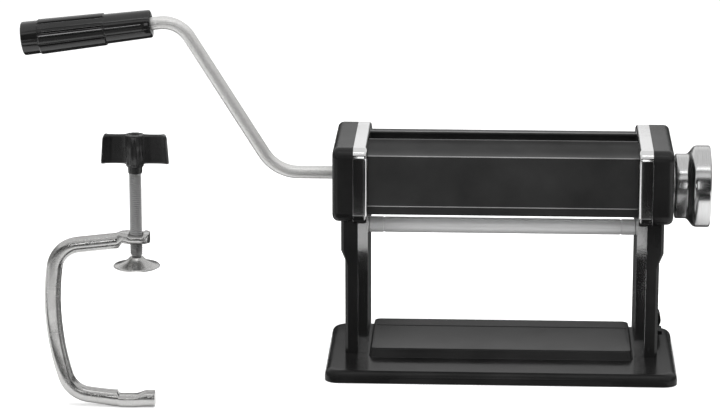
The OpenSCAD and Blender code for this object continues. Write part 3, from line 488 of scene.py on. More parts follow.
DIAL_CHROME = Chrome("dial_chrome", dark=0.48, light=0.74, rough=(0.18, 0.26), grain=Grain.TURNED_X,
                     wave_depth=0.0001)
ROD_ALUMINIUM = Metal("rod_aluminium", dark=0.76, light=0.92, rough=(0.34, 0.44), grain=Grain.LONG_X,
                      grain_strength=0.3, metallic=0.4)
CRANK_ZINC = Metal("crank_zinc", dark=0.54, light=0.8, tint=(1.0, 0.995, 0.98), rough=(0.32, 0.46),
                   smudge_scale=120.0, grain_strength=0.8, metallic=0.75)
CLAMP_ZINC = Metal("clamp_zinc", dark=0.42, light=0.62, tint=(1.0, 0.995, 0.98), rough=(0.18, 0.3),
                   smudge_scale=90.0, grain_strength=0.4, metallic=0.95)
THREAD_ZINC = Metal("thread_zinc", dark=0.34, light=0.6, rough=(0.3, 0.45), grain=Grain.FINE)
PART_ZINC = Metal("part_zinc", dark=0.42, light=0.62, rough=(0.28, 0.42))
SCREW_BRIGHT = Metal("screw_bright", dark=0.6, light=0.78, rough=(0.16, 0.26), grain=Grain.FINE)
ROLLER_STEEL = Metal("roller_steel", dark=0.52, light=0.7, rough=(0.14, 0.22), grain=Grain.TURNED_X)
SPRING_STEEL = Metal("spring_steel", dark=0.3, light=0.5, rough=(0.25, 0.35), grain=Grain.FINE)
BEARING_BRONZE = Metal("bearing_bronze", dark=0.42, light=0.6, tint=(1.0, 0.72, 0.42),
                       rough=(0.25, 0.4), grain=Grain.FINE)

FINISH_OF_SLOT = {
    "gloss_black_paint": BASE_PAINT,
    "black_cover_plastic": COVER_PLASTIC,
    "black_grip_plastic": GRIP_PLASTIC,
    "black_wing_plastic": WING_PLASTIC,
    "mirror_chrome": FRAME_CHROME,
    "polished_aluminium": DIAL_CHROME,
    "satin_zinc": PART_ZINC,
    "bright_screws": SCREW_BRIGHT,
    "roller_steel": ROLLER_STEEL,
    "spring_steel": SPRING_STEEL,
    "bearing_bronze": BEARING_BRONZE,
    "mat_rubber": MAT_RUBBER,
}
SLOT_OF = {row["node"]: row["material_slot"] for row in frame["record"]["subparts"]}
BODY_OF = {node: body for body, nodes in frame["record"]["behaviour"]["bodies"].items()
           for node in nodes}


def smoothed(mesh: bpy.types.Mesh) -> bpy.types.Mesh:
    """Shades a mesh smooth, and returns it."""
    mesh.polygons.foreach_set("use_smooth", [True] * len(mesh.polygons))
    return mesh


def part_turns(count: int) -> list[float]:
    """Returns the angles of evenly spaced points round a circle."""
    return [2 * math.pi * k / count for k in range(count)]


def unit(axis: int, length: float = 1.0) -> Vector:
    """Returns a vector of a given length along X, Y or Z, which are axes 0, 1 and 2."""
    made = Vector((0, 0, 0))
    made[axis] = length
    return made


def box_mm(node: str) -> tuple[Vector, Vector]:
    """Returns the low and the high corner of a CAD node's box in millimetres."""
    low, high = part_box(node)
    return low / MM, high / MM


@dataclass
class Shell:
    """A mesh being built from rings of points, in millimetres."""

    verts: list[Vector] = field(default_factory=list)
    faces: list[tuple[int, ...]] = field(default_factory=list)

    def loft(self, rings: Sequence[Sequence[Vector]], joined: bool = False) -> "Shell":
        """Spans a skin over rings that have the same number of points.

        Args:
            rings: The rings in order.
            joined: Whether the last ring goes on to the first; otherwise both ends are capped.

        Returns:
            The shell itself.
        """
        first, size, count = len(self.verts), len(rings[0]), len(rings)
        for ring in rings:
            self.verts.extend(ring)
        for i in range(count if joined else count - 1):
            near, far = first + i * size, first + (i + 1) % count * size
            for k in range(size):
                after = (k + 1) % size
                self.faces.append((near + k, near + after, far + after, far + k))
        if not joined:
            self.faces.append(tuple(range(first, first + size)))
            self.faces.append(tuple(range(first + (count - 1) * size, first + count * size)))
        return self

    def turned(self, profile: Sequence[tuple[float, float]], centre: Sequence[float],
               axis: Axis | tuple, sides: int = 64, joined: bool = False) -> "Shell":
        """Turns a profile about an axis.

        Args:
            profile: Pairs of distance along the axis and radius.
            centre: The point from which the distance is counted.
            axis: One of the main axes, or a pair of directions.
            sides: Facets round the axis.
            joined: Whether the profile is a closed loop, as of a tube.

        Returns:
            The shell itself.
        """
        along, up = (Vector(v) for v in (axis.value if isinstance(axis, Axis) else axis))
        side = along.cross(up)
        rings = [[Vector(centre) + along * at + (up * math.cos(t) + side * math.sin(t)) * max(r, CLOSED_R)
                  for t in part_turns(sides)] for at, r in profile]
        return self.loft(rings, joined)

    def add(self, other: "Shell") -> "Shell":
        """Takes in another shell's faces."""
        first = len(self.verts)
        self.verts.extend(other.verts)
        self.faces.extend(tuple(first + i for i in face) for face in other.faces)
        return self

    def mesh(self, name: str) -> bpy.types.Mesh:
        """Returns the shell as a mesh in metres, with closed poles and outward faces.

        Args:
            name: Name of the mesh.

        Returns:
            The mesh.
        """
        made = bpy.data.meshes.new(name)
        made.from_pydata([v * MM for v in self.verts], [], self.faces)
        work = bmesh.new()
        work.from_mesh(made)
        bmesh.ops.remove_doubles(work, verts=work.verts, dist=MERGE_DISTANCE)
        bmesh.ops.recalc_face_normals(work, faces=work.faces)
        work.to_mesh(made)
        work.free()
        return made


def keep_piece(name: str, mesh: bpy.types.Mesh, nodes: Sequence[str], finish: Finish,
               weighed: bool = False) -> bpy.types.Object:
    """Puts a finished mesh in the scene in place of CAD nodes of one body.

    Args:
        name: Name of the piece.
        mesh: Its mesh, in place and in metres.
        nodes: The CAD nodes that it stands for.
        finish: Its finish.
        weighed: Whether the mesh brings its own shading normals.

    Returns:
        The piece.
    """
    if not weighed:
        smoothed(mesh).set_sharp_from_angle(angle=SHARP_ANGLE)
    mesh.materials.clear()
    mesh.materials.append(finish.material())
    piece = put(name, mesh)
    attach(piece, BODY_OF[nodes[0]])
    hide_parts(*nodes)
    log.info("%s: %d faces on %s", name, len(mesh.polygons), BODY_OF[nodes[0]])
    return piece


def take_in(mesh: bpy.types.Mesh, others: Sequence[bpy.types.Mesh], material: int = 0) -> None:
    """Adds the faces of other meshes to a mesh.

    Args:
        mesh: The mesh that grows.
        others: The meshes that it takes in.
        material: Number of the material that their faces get.
    """
    work = bmesh.new()
    work.from_mesh(mesh)
    own = len(work.faces)
    for other in others:
        work.from_mesh(other)
    work.faces.ensure_lookup_table()
    for face in work.faces[own:]:
        face.material_index = material
    work.to_mesh(mesh)
    work.free()


def evaluated(work: bpy.types.Object) -> bpy.types.Mesh:
    """Returns the mesh that an object's modifiers make, and removes the object.

    Args:
        work: The object.

    Returns:
        The mesh.
    """
    bpy.context.view_layer.update()
    graph = bpy.context.evaluated_depsgraph_get()
    mesh = bpy.data.meshes.new_from_object(work.evaluated_get(graph))
    work.modifiers.clear()
    bpy.data.objects.remove(work)
    return mesh


def merged(node: str) -> bmesh.types.BMesh:
    """Returns a copy of a CAD node with its loose triangles joined and its flat faces whole.

    Args:
        node: The node.

    Returns:
        The copy.
    """
    work = bmesh.new()
    work.from_mesh(frame["nodes"][node].data)
    bmesh.ops.remove_doubles(work, verts=work.verts, dist=MERGE_DISTANCE)
    bmesh.ops.dissolve_limit(work, angle_limit=FLAT_ANGLE, verts=work.verts, edges=work.edges)
    return work


def dress_node(node: str, finish: Finish | None = None, edge: float = 0.25,
               least_angle: float = 40.0) -> bpy.types.Object:
    """Stands a copy of a CAD node with broken edges in its place.

    Args:
        node: The node.
        finish: Its finish, or None for that of its slot.
        edge: Width of the broken edges in millimetres.
        least_angle: Bends sharper than this, in degrees, are broken.

    Returns:
        The piece.
    """
    work = merged(node)
    mesh = bpy.data.meshes.new(f"{node}_dressed")
    work.to_mesh(mesh)
    work.free()
    copy = put(f"{node}_work", smoothed(mesh))
    if edge:
        bevel = copy.modifiers.new("edges", "BEVEL")
        bevel.width = edge * MM
        bevel.segments = 3
        bevel.limit_method = "ANGLE"
        bevel.angle_limit = math.radians(least_angle)
        bevel.use_clamp_overlap = True
        bevel.harden_normals = True
        weigh = copy.modifiers.new("normals", "WEIGHTED_NORMAL")
        weigh.keep_sharp = True
    return keep_piece(f"{node}_piece", evaluated(copy), [node],
                      finish or FINISH_OF_SLOT[SLOT_OF[node]], bool(edge))


@dataclass(frozen=True)
class Island:
    """One loose solid of a CAD node, in millimetres."""

    points: tuple[Vector, ...]

    @property
    def low(self) -> Vector:
        """Lowest corner."""
        return Vector(tuple(min(p[i] for p in self.points) for i in range(3)))

    @property
    def high(self) -> Vector:
        """Highest corner."""
        return Vector(tuple(max(p[i] for p in self.points) for i in range(3)))


def islands(node: str) -> list[Island]:
    """Returns the loose solids of a CAD node, in order of their places.

    Args:
        node: The node.

    Returns:
        The solids.
    """
    work = merged(node)
    left, found = set(work.verts), []
    while left:
        group, edge = set(), [left.pop()]
        while edge:
            vert = edge.pop()
            group.add(vert)
            for link in vert.link_edges:
                other = link.other_vert(vert)
                if other in left:
                    left.discard(other)
                    edge.append(other)
        found.append(Island(tuple(v.co / MM for v in group)))
    work.free()
    return sorted(found, key=lambda island: tuple(round(v, 3) for v in island.low))


def grow(name: str, tree: bpy.types.NodeTree, inputs: dict,
         seed: bpy.types.Mesh | None = None) -> bpy.types.Mesh:
    """Runs a Geometry Nodes tree and returns what it makes as a plain mesh.

    Args:
        name: Name for the work object.
        tree: The tree.
        inputs: Names of the tree's inputs to values.
        seed: The mesh that goes in, if any.

    Returns:
        The mesh.
    """
    work = put(f"{name}_work", seed or bpy.data.meshes.new(name))
    modifier = work.modifiers.new("build", "NODES")
    modifier.node_group = tree
    for item in tree.interface.items_tree:
        if item.item_type == "SOCKET" and item.in_out == "INPUT" and item.name in inputs:
            modifier[item.identifier] = inputs[item.name]
    return evaluated(work)


class GrowTrees:
    """The Geometry Nodes trees, each built once."""

    _built: dict[Growth, bpy.types.NodeTree] = {}

    @classmethod
    def get(cls, growth: Growth) -> bpy.types.NodeTree:
        """Returns a tree, built at its first use.

        Args:
            growth: Which tree.

        Returns:
            The tree.
        """
        makers = {Growth.SCREWS: cls._screws, Growth.COIL: cls._coil, Growth.THREAD: cls._thread}
        if growth not in cls._built:
            cls._built[growth] = makers[growth]()
        return cls._built[growth]

    @staticmethod
    def _close(wiring: Wiring, given: bpy.types.Node, out: bpy.types.Node,
               last: bpy.types.NodeSocket) -> None:
        """Ends a tree with its instances made real and its material set."""
        real = wiring.add("GeometryNodeRealizeInstances", {"Geometry": last})
        dressed = wiring.add("GeometryNodeSetMaterial", {
            "Geometry": real.outputs["Geometry"], "Material": given.outputs["Material"]})
        wiring.join(dressed.outputs["Geometry"], out.inputs["Geometry"])

    @staticmethod
    def _moved(wiring: Wiring, geometry: bpy.types.NodeSocket,
               up: bpy.types.NodeSocket) -> bpy.types.NodeSocket:
        """Lifts a geometry along Z by a value."""
        place = wiring.add("ShaderNodeCombineXYZ", {"Z": up})
        lifted = wiring.add("GeometryNodeTransform", {
            "Geometry": geometry, "Translation": place.outputs["Vector"]})
        return lifted.outputs["Geometry"]

    @staticmethod
    def _times(wiring: Wiring, value: bpy.types.NodeSocket, factor: float) -> bpy.types.NodeSocket:
        """Returns a value times a factor."""
        return wiring.add("ShaderNodeMath", {0: value, 1: factor}, operation="MULTIPLY").outputs[0]

    @staticmethod
    def _spiral(wiring: Wiring, given: bpy.types.Node, radius: bpy.types.NodeSocket,
                points: int) -> bpy.types.NodeSocket:
        """Winds a spiral of even radius, as long and with as many turns as the inputs say.

        Args:
            wiring: The tree's nodes.
            given: Its input node.
            radius: The spiral's radius.
            points: Points in each turn.

        Returns:
            The spiral as a curve.
        """
        path = wiring.add("GeometryNodeCurveSpiral", {
            "Resolution": points, "Rotations": given.outputs["Turns"], "Start Radius": radius,
            "End Radius": radius, "Height": given.outputs["Length"]})
        return path.outputs["Curve"]

    @staticmethod
    def _along(wiring: Wiring, path: bpy.types.NodeSocket, radius: bpy.types.NodeSocket,
               sides: int) -> bpy.types.NodeSocket:
        """Runs a round section of a given radius along a curve, and closes its ends.

        Args:
            wiring: The tree's nodes.
            path: The curve.
            radius: The section's radius.
            sides: The section's sides.

        Returns:
            The skin.
        """
        section = wiring.add("GeometryNodeCurvePrimitiveCircle", {"Resolution": sides, "Radius": radius})
        skin = wiring.add("GeometryNodeCurveToMesh", {
            "Curve": path, "Profile Curve": section.outputs["Curve"], "Fill Caps": True})
        return skin.outputs["Mesh"]

    @staticmethod
    def _on_points(wiring: Wiring, given: bpy.types.Node,
                   part: bpy.types.NodeSocket) -> bpy.types.NodeSocket:
        """Stands a part on each point that comes in, turned to the point's way.

        Args:
            wiring: The tree's nodes.
            given: Its input node.
            part: The part.

        Returns:
            The instances.
        """
        way = wiring.add("GeometryNodeInputNamedAttribute", {"Name": "way"}, data_type="FLOAT_VECTOR")
        turn = wiring.add("FunctionNodeAlignRotationToVector", {
            "Vector": way.outputs["Attribute"]}, axis="Z")
        placed = wiring.add("GeometryNodeInstanceOnPoints", {
            "Points": given.outputs["Geometry"], "Instance": part,
            "Rotation": turn.outputs["Rotation"]})
        return placed.outputs["Instances"]

    @classmethod
    def _screws(cls) -> bpy.types.NodeTree:
        """Domed screws with a cross recess, one on each point, turned to the point's way.

        Returns:
            The tree.
        """
        tree, wiring, given, out = new_group(Growth.SCREWS.value, "GeometryNodeTree", [
            ("Geometry", "NodeSocketGeometry", None), ("Head Radius", "NodeSocketFloat", 0.003),
            ("Head Height", "NodeSocketFloat", 0.002), ("Shank Radius", "NodeSocketFloat", 0.0015),
            ("Shank Length", "NodeSocketFloat", 0.006), ("Material", "NodeSocketMaterial", None),
        ], [("Geometry", "NodeSocketGeometry")])
        radius, height = given.outputs["Head Radius"], given.outputs["Head Height"]
        rim = wiring.add("GeometryNodeMeshCylinder", {
            "Vertices": 28, "Radius": radius, "Depth": cls._times(wiring, height, 0.5)})
        rim_up = cls._moved(wiring, rim.outputs["Mesh"], cls._times(wiring, height, 0.25))
        dome = wiring.add("GeometryNodeMeshCone", {
            "Vertices": 28, "Radius Bottom": radius, "Radius Top": cls._times(wiring, radius, 0.7),
            "Depth": cls._times(wiring, height, 0.5)})
        dome_up = cls._moved(wiring, dome.outputs["Mesh"], cls._times(wiring, height, 0.5))
        bars = wiring.add("GeometryNodeJoinGeometry")
        wide, narrow = cls._times(wiring, radius, 1.15), cls._times(wiring, radius, 0.22)
        for size in ((wide, narrow), (narrow, wide)):
            bar_size = wiring.add("ShaderNodeCombineXYZ", {
                "X": size[0], "Y": size[1], "Z": cls._times(wiring, height, 0.9)})
            bar = wiring.add("GeometryNodeMeshCube", {"Size": bar_size.outputs["Vector"]})
            wiring.join(cls._moved(wiring, bar.outputs["Mesh"], height), bars.inputs["Geometry"])
        cut_dome = wiring.add("GeometryNodeMeshBoolean", {
            "Mesh 1": dome_up, "Mesh 2": bars.outputs["Geometry"], "Self Intersection": True},
            operation="DIFFERENCE", solver="EXACT")
        shank = wiring.add("GeometryNodeMeshCylinder", {
            "Vertices": 20, "Radius": given.outputs["Shank Radius"],
            "Depth": given.outputs["Shank Length"]})
        shank_down = cls._moved(wiring, shank.outputs["Mesh"],
                                cls._times(wiring, given.outputs["Shank Length"], -0.5))
        whole = wiring.add("GeometryNodeJoinGeometry")
        for part in (rim_up, cut_dome.outputs["Mesh"], shank_down):
            wiring.join(part, whole.inputs["Geometry"])
        cls._close(wiring, given, out, cls._on_points(wiring, given, whole.outputs["Geometry"]))
        return tree

    @classmethod
    def _coil(cls) -> bpy.types.NodeTree:
        """A wound spring on each point, turned to the point's way.

        Returns:
            The tree.
        """
        tree, wiring, given, out = new_group(Growth.COIL.value, "GeometryNodeTree", [
            ("Geometry", "NodeSocketGeometry", None), ("Coil Radius", "NodeSocketFloat", 0.004),
            ("Wire Radius", "NodeSocketFloat", 0.0005), ("Length", "NodeSocketFloat", 0.008),
            ("Turns", "NodeSocketFloat", 6.0), ("Material", "NodeSocketMaterial", None),
        ], [("Geometry", "NodeSocketGeometry")])
        path = cls._spiral(wiring, given, given.outputs["Coil Radius"], 26)
        wound = cls._along(wiring, path, given.outputs["Wire Radius"], 8)
        cls._close(wiring, given, out, cls._on_points(wiring, given, wound))
        return tree

    @classmethod
    def _thread(cls) -> bpy.types.NodeTree:
        """The raised helix of a screw thread, upright from a base point.

        Returns:
            The tree.
        """
        tree, wiring, given, out = new_group(Growth.THREAD.value, "GeometryNodeTree", [
            ("Geometry", "NodeSocketGeometry", None), ("Root Radius", "NodeSocketFloat", 0.0034),
            ("Flank", "NodeSocketFloat", 0.0006), ("Length", "NodeSocketFloat", 0.05),
            ("Turns", "NodeSocketFloat", 40.0), ("Base", "NodeSocketVector", (0, 0, 0)),
            ("Material", "NodeSocketMaterial", None),
        ], [("Geometry", "NodeSocketGeometry")])
        path = cls._spiral(wiring, given, given.outputs["Root Radius"], 28)
        upright = wiring.add("GeometryNodeSetCurveNormal", {"Curve": path}, mode="Z_UP")
        cut = cls._along(wiring, upright.outputs["Curve"], given.outputs["Flank"], 4)
        placed = wiring.add("GeometryNodeTransform", {
            "Geometry": cut, "Translation": given.outputs["Base"]})
        cls._close(wiring, given, out, placed.outputs["Geometry"])
        return tree


def seed_points(places: Sequence[tuple[Vector, Vector]]) -> bpy.types.Mesh:
    """Returns a mesh of points in metres, each with its way.

    Args:
        places: Pairs of place in millimetres and direction.

    Returns:
        The mesh.
    """
    mesh = bpy.data.meshes.new("seed")
    mesh.from_pydata([p * MM for p, _ in places], [], [])
    way = mesh.attributes.new("way", "FLOAT_VECTOR", "POINT")
    for row, (_, direction) in zip(way.data, places):
        row.vector = direction
    return mesh


def read_screw(solid: Island) -> tuple[Vector, Vector, tuple[float, float, float, float]]:
    """Reads a plain screw's place, way and sizes from its solid.

    Args:
        solid: The screw's solid.

    Returns:
        The middle of the head's underside, the way the head faces, and the head's radius, its height,
        the shank's radius and its length, all in millimetres.
    """
    low, high = solid.low, solid.high
    size, middle = high - low, (low + high) / 2
    along = max(range(3), key=lambda i: min(abs(size[i] - size[j]) for j in range(3) if j != i))
    cross = [i for i in range(3) if i != along]
    reach = [(p[along], math.hypot(*(p[i] - middle[i] for i in cross))) for p in solid.points]
    head_r = max(r for _, r in reach)
    head = [at for at, r in reach if r > RIM_SHARE * head_r]
    far_head = max(head)
    outward = 1 if far_head > max(middle[along], high[along] - HEAD_SHARE * size[along]) else -1
    top, tip = (high[along], low[along]) if outward > 0 else (low[along], high[along])
    under = min(head) if outward > 0 else far_head
    middle[along] = under
    shank = [r for at, r in reach if (at - under) * outward < -BELOW_HEAD]
    sizes = (head_r, abs(top - under), max(shank) if shank else head_r / 2,
             max(abs(under - tip), LEAST_SHANK))
    return middle, unit(along, outward), tuple(round(v, 3) for v in sizes)


def grow_screws(node: str) -> bpy.types.Object:
    """Stands real screws, with recessed heads, in place of a node of plain ones.

    Args:
        node: The CAD node, whose solids are screws of one or more sizes.

    Returns:
        The piece.
    """
    finish = FINISH_OF_SLOT[SLOT_OF[node]]
    places_of: dict[tuple, list[tuple[Vector, Vector]]] = {}
    for solid in islands(node):
        place, way, sizes = read_screw(solid)
        places_of.setdefault(sizes, []).append((place, way))
    first, *more = [grow(node, GrowTrees.get(Growth.SCREWS), {
        "Head Radius": head_r * MM, "Head Height": head_h * MM, "Shank Radius": shank_r * MM,
        "Shank Length": shank_l * MM, "Material": finish.material()}, seed_points(places))
        for (head_r, head_h, shank_r, shank_l), places in places_of.items()]
    take_in(first, more)
    return keep_piece(f"{node}_piece", first, [node], finish)


def grow_springs(node: str, along: int, wire: float, turns: float) -> bpy.types.Object:
    """Winds real springs in place of a node of plain sleeves.

    Args:
        node: The CAD node.
        along: Number of the axis that the springs lie along.
        wire: Radius of the wire in millimetres.
        turns: Turns of each spring.

    Returns:
        The piece.
    """
    places, radius, length = [], 0.0, 0.0
    for solid in islands(node):
        low, high = solid.low, solid.high
        start = (low + high) / 2
        start[along] = low[along] + wire
        radius = min(high[i] - low[i] for i in range(3) if i != along) / 2 - wire
        length = high[along] - low[along] - 2 * wire
        places.append((start, unit(along)))
    mesh = grow(node, GrowTrees.get(Growth.COIL), {
        "Coil Radius": radius * MM, "Wire Radius": wire * MM, "Length": length * MM,
        "Turns": turns, "Material": SPRING_STEEL.material()}, seed_points(places))
    piece = keep_piece(f"{node}_piece", mesh, [node], SPRING_STEEL)
    low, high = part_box(node)
    tuple(unit(along))
    tuple(unit(along, high[along]))
    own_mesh(piece)
    return piece


def rounded_ring(half_w: float, half_d: float, corner: float, z: float,
                 middle: tuple[float, float]) -> list[Vector]:
    """Returns the points of a level rectangle with round corners.

    Args:
        half_w: Half its width along X.
        half_d: Half its depth along Y.
        corner: Radius of its corners.
        z: Its height.
        middle: Its middle in X and Y.

    Returns:
        The points in order.
    """
    ring = []
    for quarter, (sx, sy) in enumerate(((1, 1), (-1, 1), (-1, -1), (1, -1))):
        for i in range(CORNER_STEPS + 1):
            turn = math.pi / 2 * (quarter + i / CORNER_STEPS)
            ring.append(Vector((middle[0] + sx * (half_w - corner) + corner * math.cos(turn),
                                middle[1] + sy * (half_d - corner) + corner * math.sin(turn), z)))
    return ring


def rod_stations(runs: Sequence[tuple[float, float, float]], start: tuple[float, float, float],
                 step: float = 3.0) -> list[Station]:
    """Returns stations along a bent rod in an upright plane.

    Args:
        runs: Rows of straight length, bend radius and turn in degrees.
        start: X, Z and heading in degrees.
        step: Turn between stations in a bend, in degrees.

    Returns:
        Rows of X, Z, heading in radians and distance run.
    """
    x, z, heading = start[0], start[1], math.radians(start[2])
    made, run = [(x, z, heading, 0.0)], 0.0
    for length, bend, turn in runs:
        parts = max(1, round(length / STRAIGHT_STEP)) if length > 0 else 0
        for _ in range(parts):
            x += length / parts * math.cos(heading)
            z += length / parts * math.sin(heading)
            run += length / parts
            made.append((x, z, heading, run))
        if turn:
            parts = math.ceil(abs(turn) / step)
            part = math.radians(turn) / parts
            side = -1 if turn > 0 else 1
            for _ in range(parts):
                after = heading - part
                x += side * bend * (math.sin(after) - math.sin(heading))
                z -= side * bend * (math.cos(after) - math.cos(heading))
                run += bend * abs(part)
                heading = after
                made.append((x, z, heading, run))
    return made


def swept(stations: Sequence[Station], plane_y: float, section: Callable[[float], Section],
          sides: int = 40) -> Shell:
    """Sweeps a changing oval section along stations.

    Args:
        stations: Rows of X, Z, heading and distance run.
        plane_y: Y of the rod's plane.
        section: Gives reach to the left of the heading, reach to its right, half width across the
            plane, and the exponent that squares the oval, at a distance run.
        sides: Points round the section.

    Returns:
        The shell.
    """
    rings = []
    for x, z, heading, run in stations:
        left, right, half_w, power = section(run)
        ring = []
        for turn in part_turns(sides):
            c, s = math.cos(turn), math.sin(turn)
            across = half_w * math.copysign(abs(c) ** (2 / power), c)
            out = (left if s > 0 else right) * math.copysign(abs(s) ** (2 / power), s)
            ring.append(Vector((x - out * math.sin(heading), plane_y + across,
                                z + out * math.cos(heading))))
        rings.append(ring)
    return Shell().loft(rings)


def between(value: float, start: float, end: float) -> float:
    """Returns a soft step from 0 before start to 1 after end."""
    share = min(1.0, max(0.0, (value - start) / (end - start)))
    return share * share * (3 - 2 * share)


@dataclass
class Base:
    """The pressed tray with its raised middle, rubber mat, clamp socket and screws."""

    half_w: float = 113.5
    half_d: float = 56.25
    middle_y: float = -11.25
    corner: float = 9.0
    top_z: float = 8.0
    rim_low_z: float = 0.4
    rim_high_z: float = 3.2
    shoulder: float = 4.4
    lip: float = 1.2
    wall: float = 1.2
    bridge_y: float = 2.6
    bridge_half_l: float = 86.0
    bridge_half_d: float = 37.9
    bridge_corner: float = 4.0
    bridge_rise: float = 5.3
    bridge_run: float = 3.9
    bridge_end_run: float = 1.5
    bridge_bends: tuple[tuple[float, float], ...] = (
        (0.0, -0.4), (0.0, 0.0), (0.07, 0.05), (0.16, 0.16), (0.78, 0.84), (0.88, 0.94), (1.05, 0.99),
        (1.3, 1.0))
    bead_y: float = 21.0
    bead_h: float = 0.35
    bead_inset: float = 3.0

    def build(self) -> None:
        """Builds and dresses the base."""
        keep_piece("base_tray_piece", self.tray(), ["base_tray"], BASE_PAINT)
        dress_node("anti_slip_mat", edge=0.4)
        dress_node("clamp_socket", edge=0.4)
        grow_screws("base_screws")
        dress_node("base_nuts", edge=0.2)

    def shoulder_rings(self, inset: float, top: float) -> list[list[Vector]]:
        """Returns the rings from the rim up over the shoulder.

        Args:
            inset: Distance inside the outer skin.
            top: Height of the flat top.

        Returns:
            The rings, lowest first.
        """
        rise = top - self.rim_high_z
        rings = [(0.0, self.rim_low_z), (0.0, self.rim_high_z)]
        for a in range(10, 100, 10):
            turn = math.radians(a)
            rings.append((self.shoulder * (1 - math.cos(turn)), self.rim_high_z + rise * math.sin(turn)))
        rings.append((self.shoulder + self.lip, top))
        return [rounded_ring(self.half_w - inset - i, self.half_d - inset - i,
                             self.corner - inset - i / 2, z, (0.0, self.middle_y))
                for i, z in rings]

    def bridge_rings(self) -> list[list[Vector]]:
        """Returns the rings up the slopes of the raised middle, with soft bends, lowest first."""
        return [rounded_ring(
            self.bridge_half_l - share * self.bridge_end_run,
            self.bridge_half_d - share * self.bridge_run, self.bridge_corner,
            self.top_z + up * self.bridge_rise, (0.0, self.bridge_y)) for share, up in self.bridge_bends]

    def bead(self) -> Shell:
        """Returns the low pressed line across the raised middle."""
        reach = self.bridge_half_l - self.bead_inset
        top = self.top_z + self.bridge_rise
        profile = [(-1.1, -0.3), (-1.1, 0.0), (-0.5, self.bead_h), (0.3, self.bead_h), (1.1, 0.0),
                   (1.1, -0.3)]
        return Shell().loft([[Vector((x, self.bead_y + dy, top + dz)) for dy, dz in profile]
                             for x in (-reach, reach)])

    def tray(self) -> bpy.types.Mesh:
        """Returns the tray with its turned-under wall and its raised middle."""
        outer = self.shoulder_rings(0.0, self.top_z)
        inner = self.shoulder_rings(self.wall, self.top_z - self.wall)
        shell = Shell().loft(list(reversed(inner)) + outer)
        shell.add(Shell().loft(self.bridge_rings()))
        return shell.add(self.bead()).mesh("base_tray")


@dataclass
class SideFrames:
    """Chromed side plates with their covers, screws, tie rod and cross bars."""

    collar_l: float = 9.0
    collar_edge: float = 0.4
    groove: float = 0.45
    groove_w: float = 0.7
    pinch: float = 0.06
    pinch_l: float = 4.7

    def build(self) -> None:
        """Builds and dresses the sides."""
        for side in ("left", "right"):
            dress_node(f"{side}_frame", FRAME_CHROME, edge=0.3)
            dress_node(f"{side}_leg_cover", COVER_PLASTIC, edge=0.6)
            dress_node(f"{side}_end_cover", COVER_PLASTIC, edge=0.35)
        for node in ("leg_cover_screws", "end_cover_screws", "frame_screws"):
            grow_screws(node)
        keep_piece("tie_rod_piece", self.tie_rod(), ["tie_rod"], ROD_ALUMINIUM)
        dress_node("cross_bars", ROD_ALUMINIUM, edge=0.3)

    def tie_rod(self) -> bpy.types.Mesh:
        """Returns the rod with a turned groove and pinch marks at both ends."""
        low, high = box_mm("tie_rod")
        half, r = (high.x - low.x) / 2, (high.z - low.z) / 2
        inner = half - self.collar_l
        marks = [(half, r - self.collar_edge), (half - self.collar_edge, r), (inner, r),
                 (inner - 0.3, r - self.groove), (inner - 0.3 - self.groove_w, r - self.groove),
                 (inner - 0.6 - self.groove_w, r - self.pinch),
                 (inner - 0.6 - self.groove_w - self.pinch_l, r - self.pinch)]
        profile = [(-at, radius) for at, radius in marks] + [(at, radius) for at, radius in reversed(marks)]
        return Shell().turned([(-half, 0.0)] + profile + [(half, 0.0)],
                              (0, (high.y + low.y) / 2, (high.z + low.z) / 2), Axis.ALONG_X,
                              56).mesh("tie_rod")


@dataclass
class RollerDrive:
    """Rollers, gears, bearings, scrapers, sheet covers and the dial's shaft inside the head."""

    plain: tuple[tuple[str, Finish, float], ...] = (
        ("front_cover", COVER_PAINT, 0.45),
        ("rear_cover", COVER_PAINT, 0.45),
        ("front_scraper", ROLLER_STEEL, 0.15),
        ("rear_scraper", ROLLER_STEEL, 0.15),
        ("drive_roller", ROLLER_STEEL, 0.3),
        ("gap_roller", ROLLER_STEEL, 0.3),
        ("drive_gear", PART_ZINC, 0.2),
        ("gap_gear", PART_ZINC, 0.2),
        ("drive_bushes", BEARING_BRONZE, 0.2),
        ("bearing_blocks", BEARING_BRONZE, 0.2),
        ("guide_brackets", PART_ZINC, 0.2),
        ("selector_bushes", BEARING_BRONZE, 0.2),
        ("gap_cams", PART_ZINC, 0.2),
        ("selector_shaft", ROLLER_STEEL, 0.2),
        ("index_plate", PART_ZINC, 0.2),
    )
    spring_wire: float = 0.45
    spring_turns: float = 5.0
    gap_travel: float = 1.82
    creases: tuple[tuple[float, float, float], ...] = (
        (37.7, 143.7, 0.4), (37.75, 110.6, 0.4), (11.3, 148.4, 0.55))
    crease_half_l: float = 86.8
    sheet_bend: float = 12.0
    part_bend: float = 40.0

    def build(self) -> None:
        """Builds and dresses the drive."""
        for node, finish, edge in self.plain:
            is_sheet = finish is COVER_PAINT
            piece = dress_node(node, finish, edge, self.sheet_bend if is_sheet else self.part_bend)
            if is_sheet:
                self.crease(piece, -1 if node == "front_cover" else 1)
        grow_screws("bracket_screws")
        grow_springs("block_springs", 1, self.spring_wire, self.spring_turns)

    def crease(self, piece: bpy.types.Object, side: int) -> None:
        """Adds the pressed lines along a cover's bends, in a lighter finish that paints a highlight on them.

        Args:
            piece: The cover's piece.
            side: -1 for the front cover, 1 for the rear one.
        """
        half = self.crease_half_l
        lines = [Shell().turned([(-half, 0.0), (-half, r), (half, r), (half, 0.0)],
                                (0, side * y, z), Axis.ALONG_X, 12).mesh("crease")
                 for y, z, r in self.creases]
        # The lines get the lighter finish as their second material: a painted highlight on the bends.
        take_in(piece.data, [smoothed(line) for line in lines], 1)
        piece.data.materials.append(COVER_BEND_HIGHLIGHT.material())


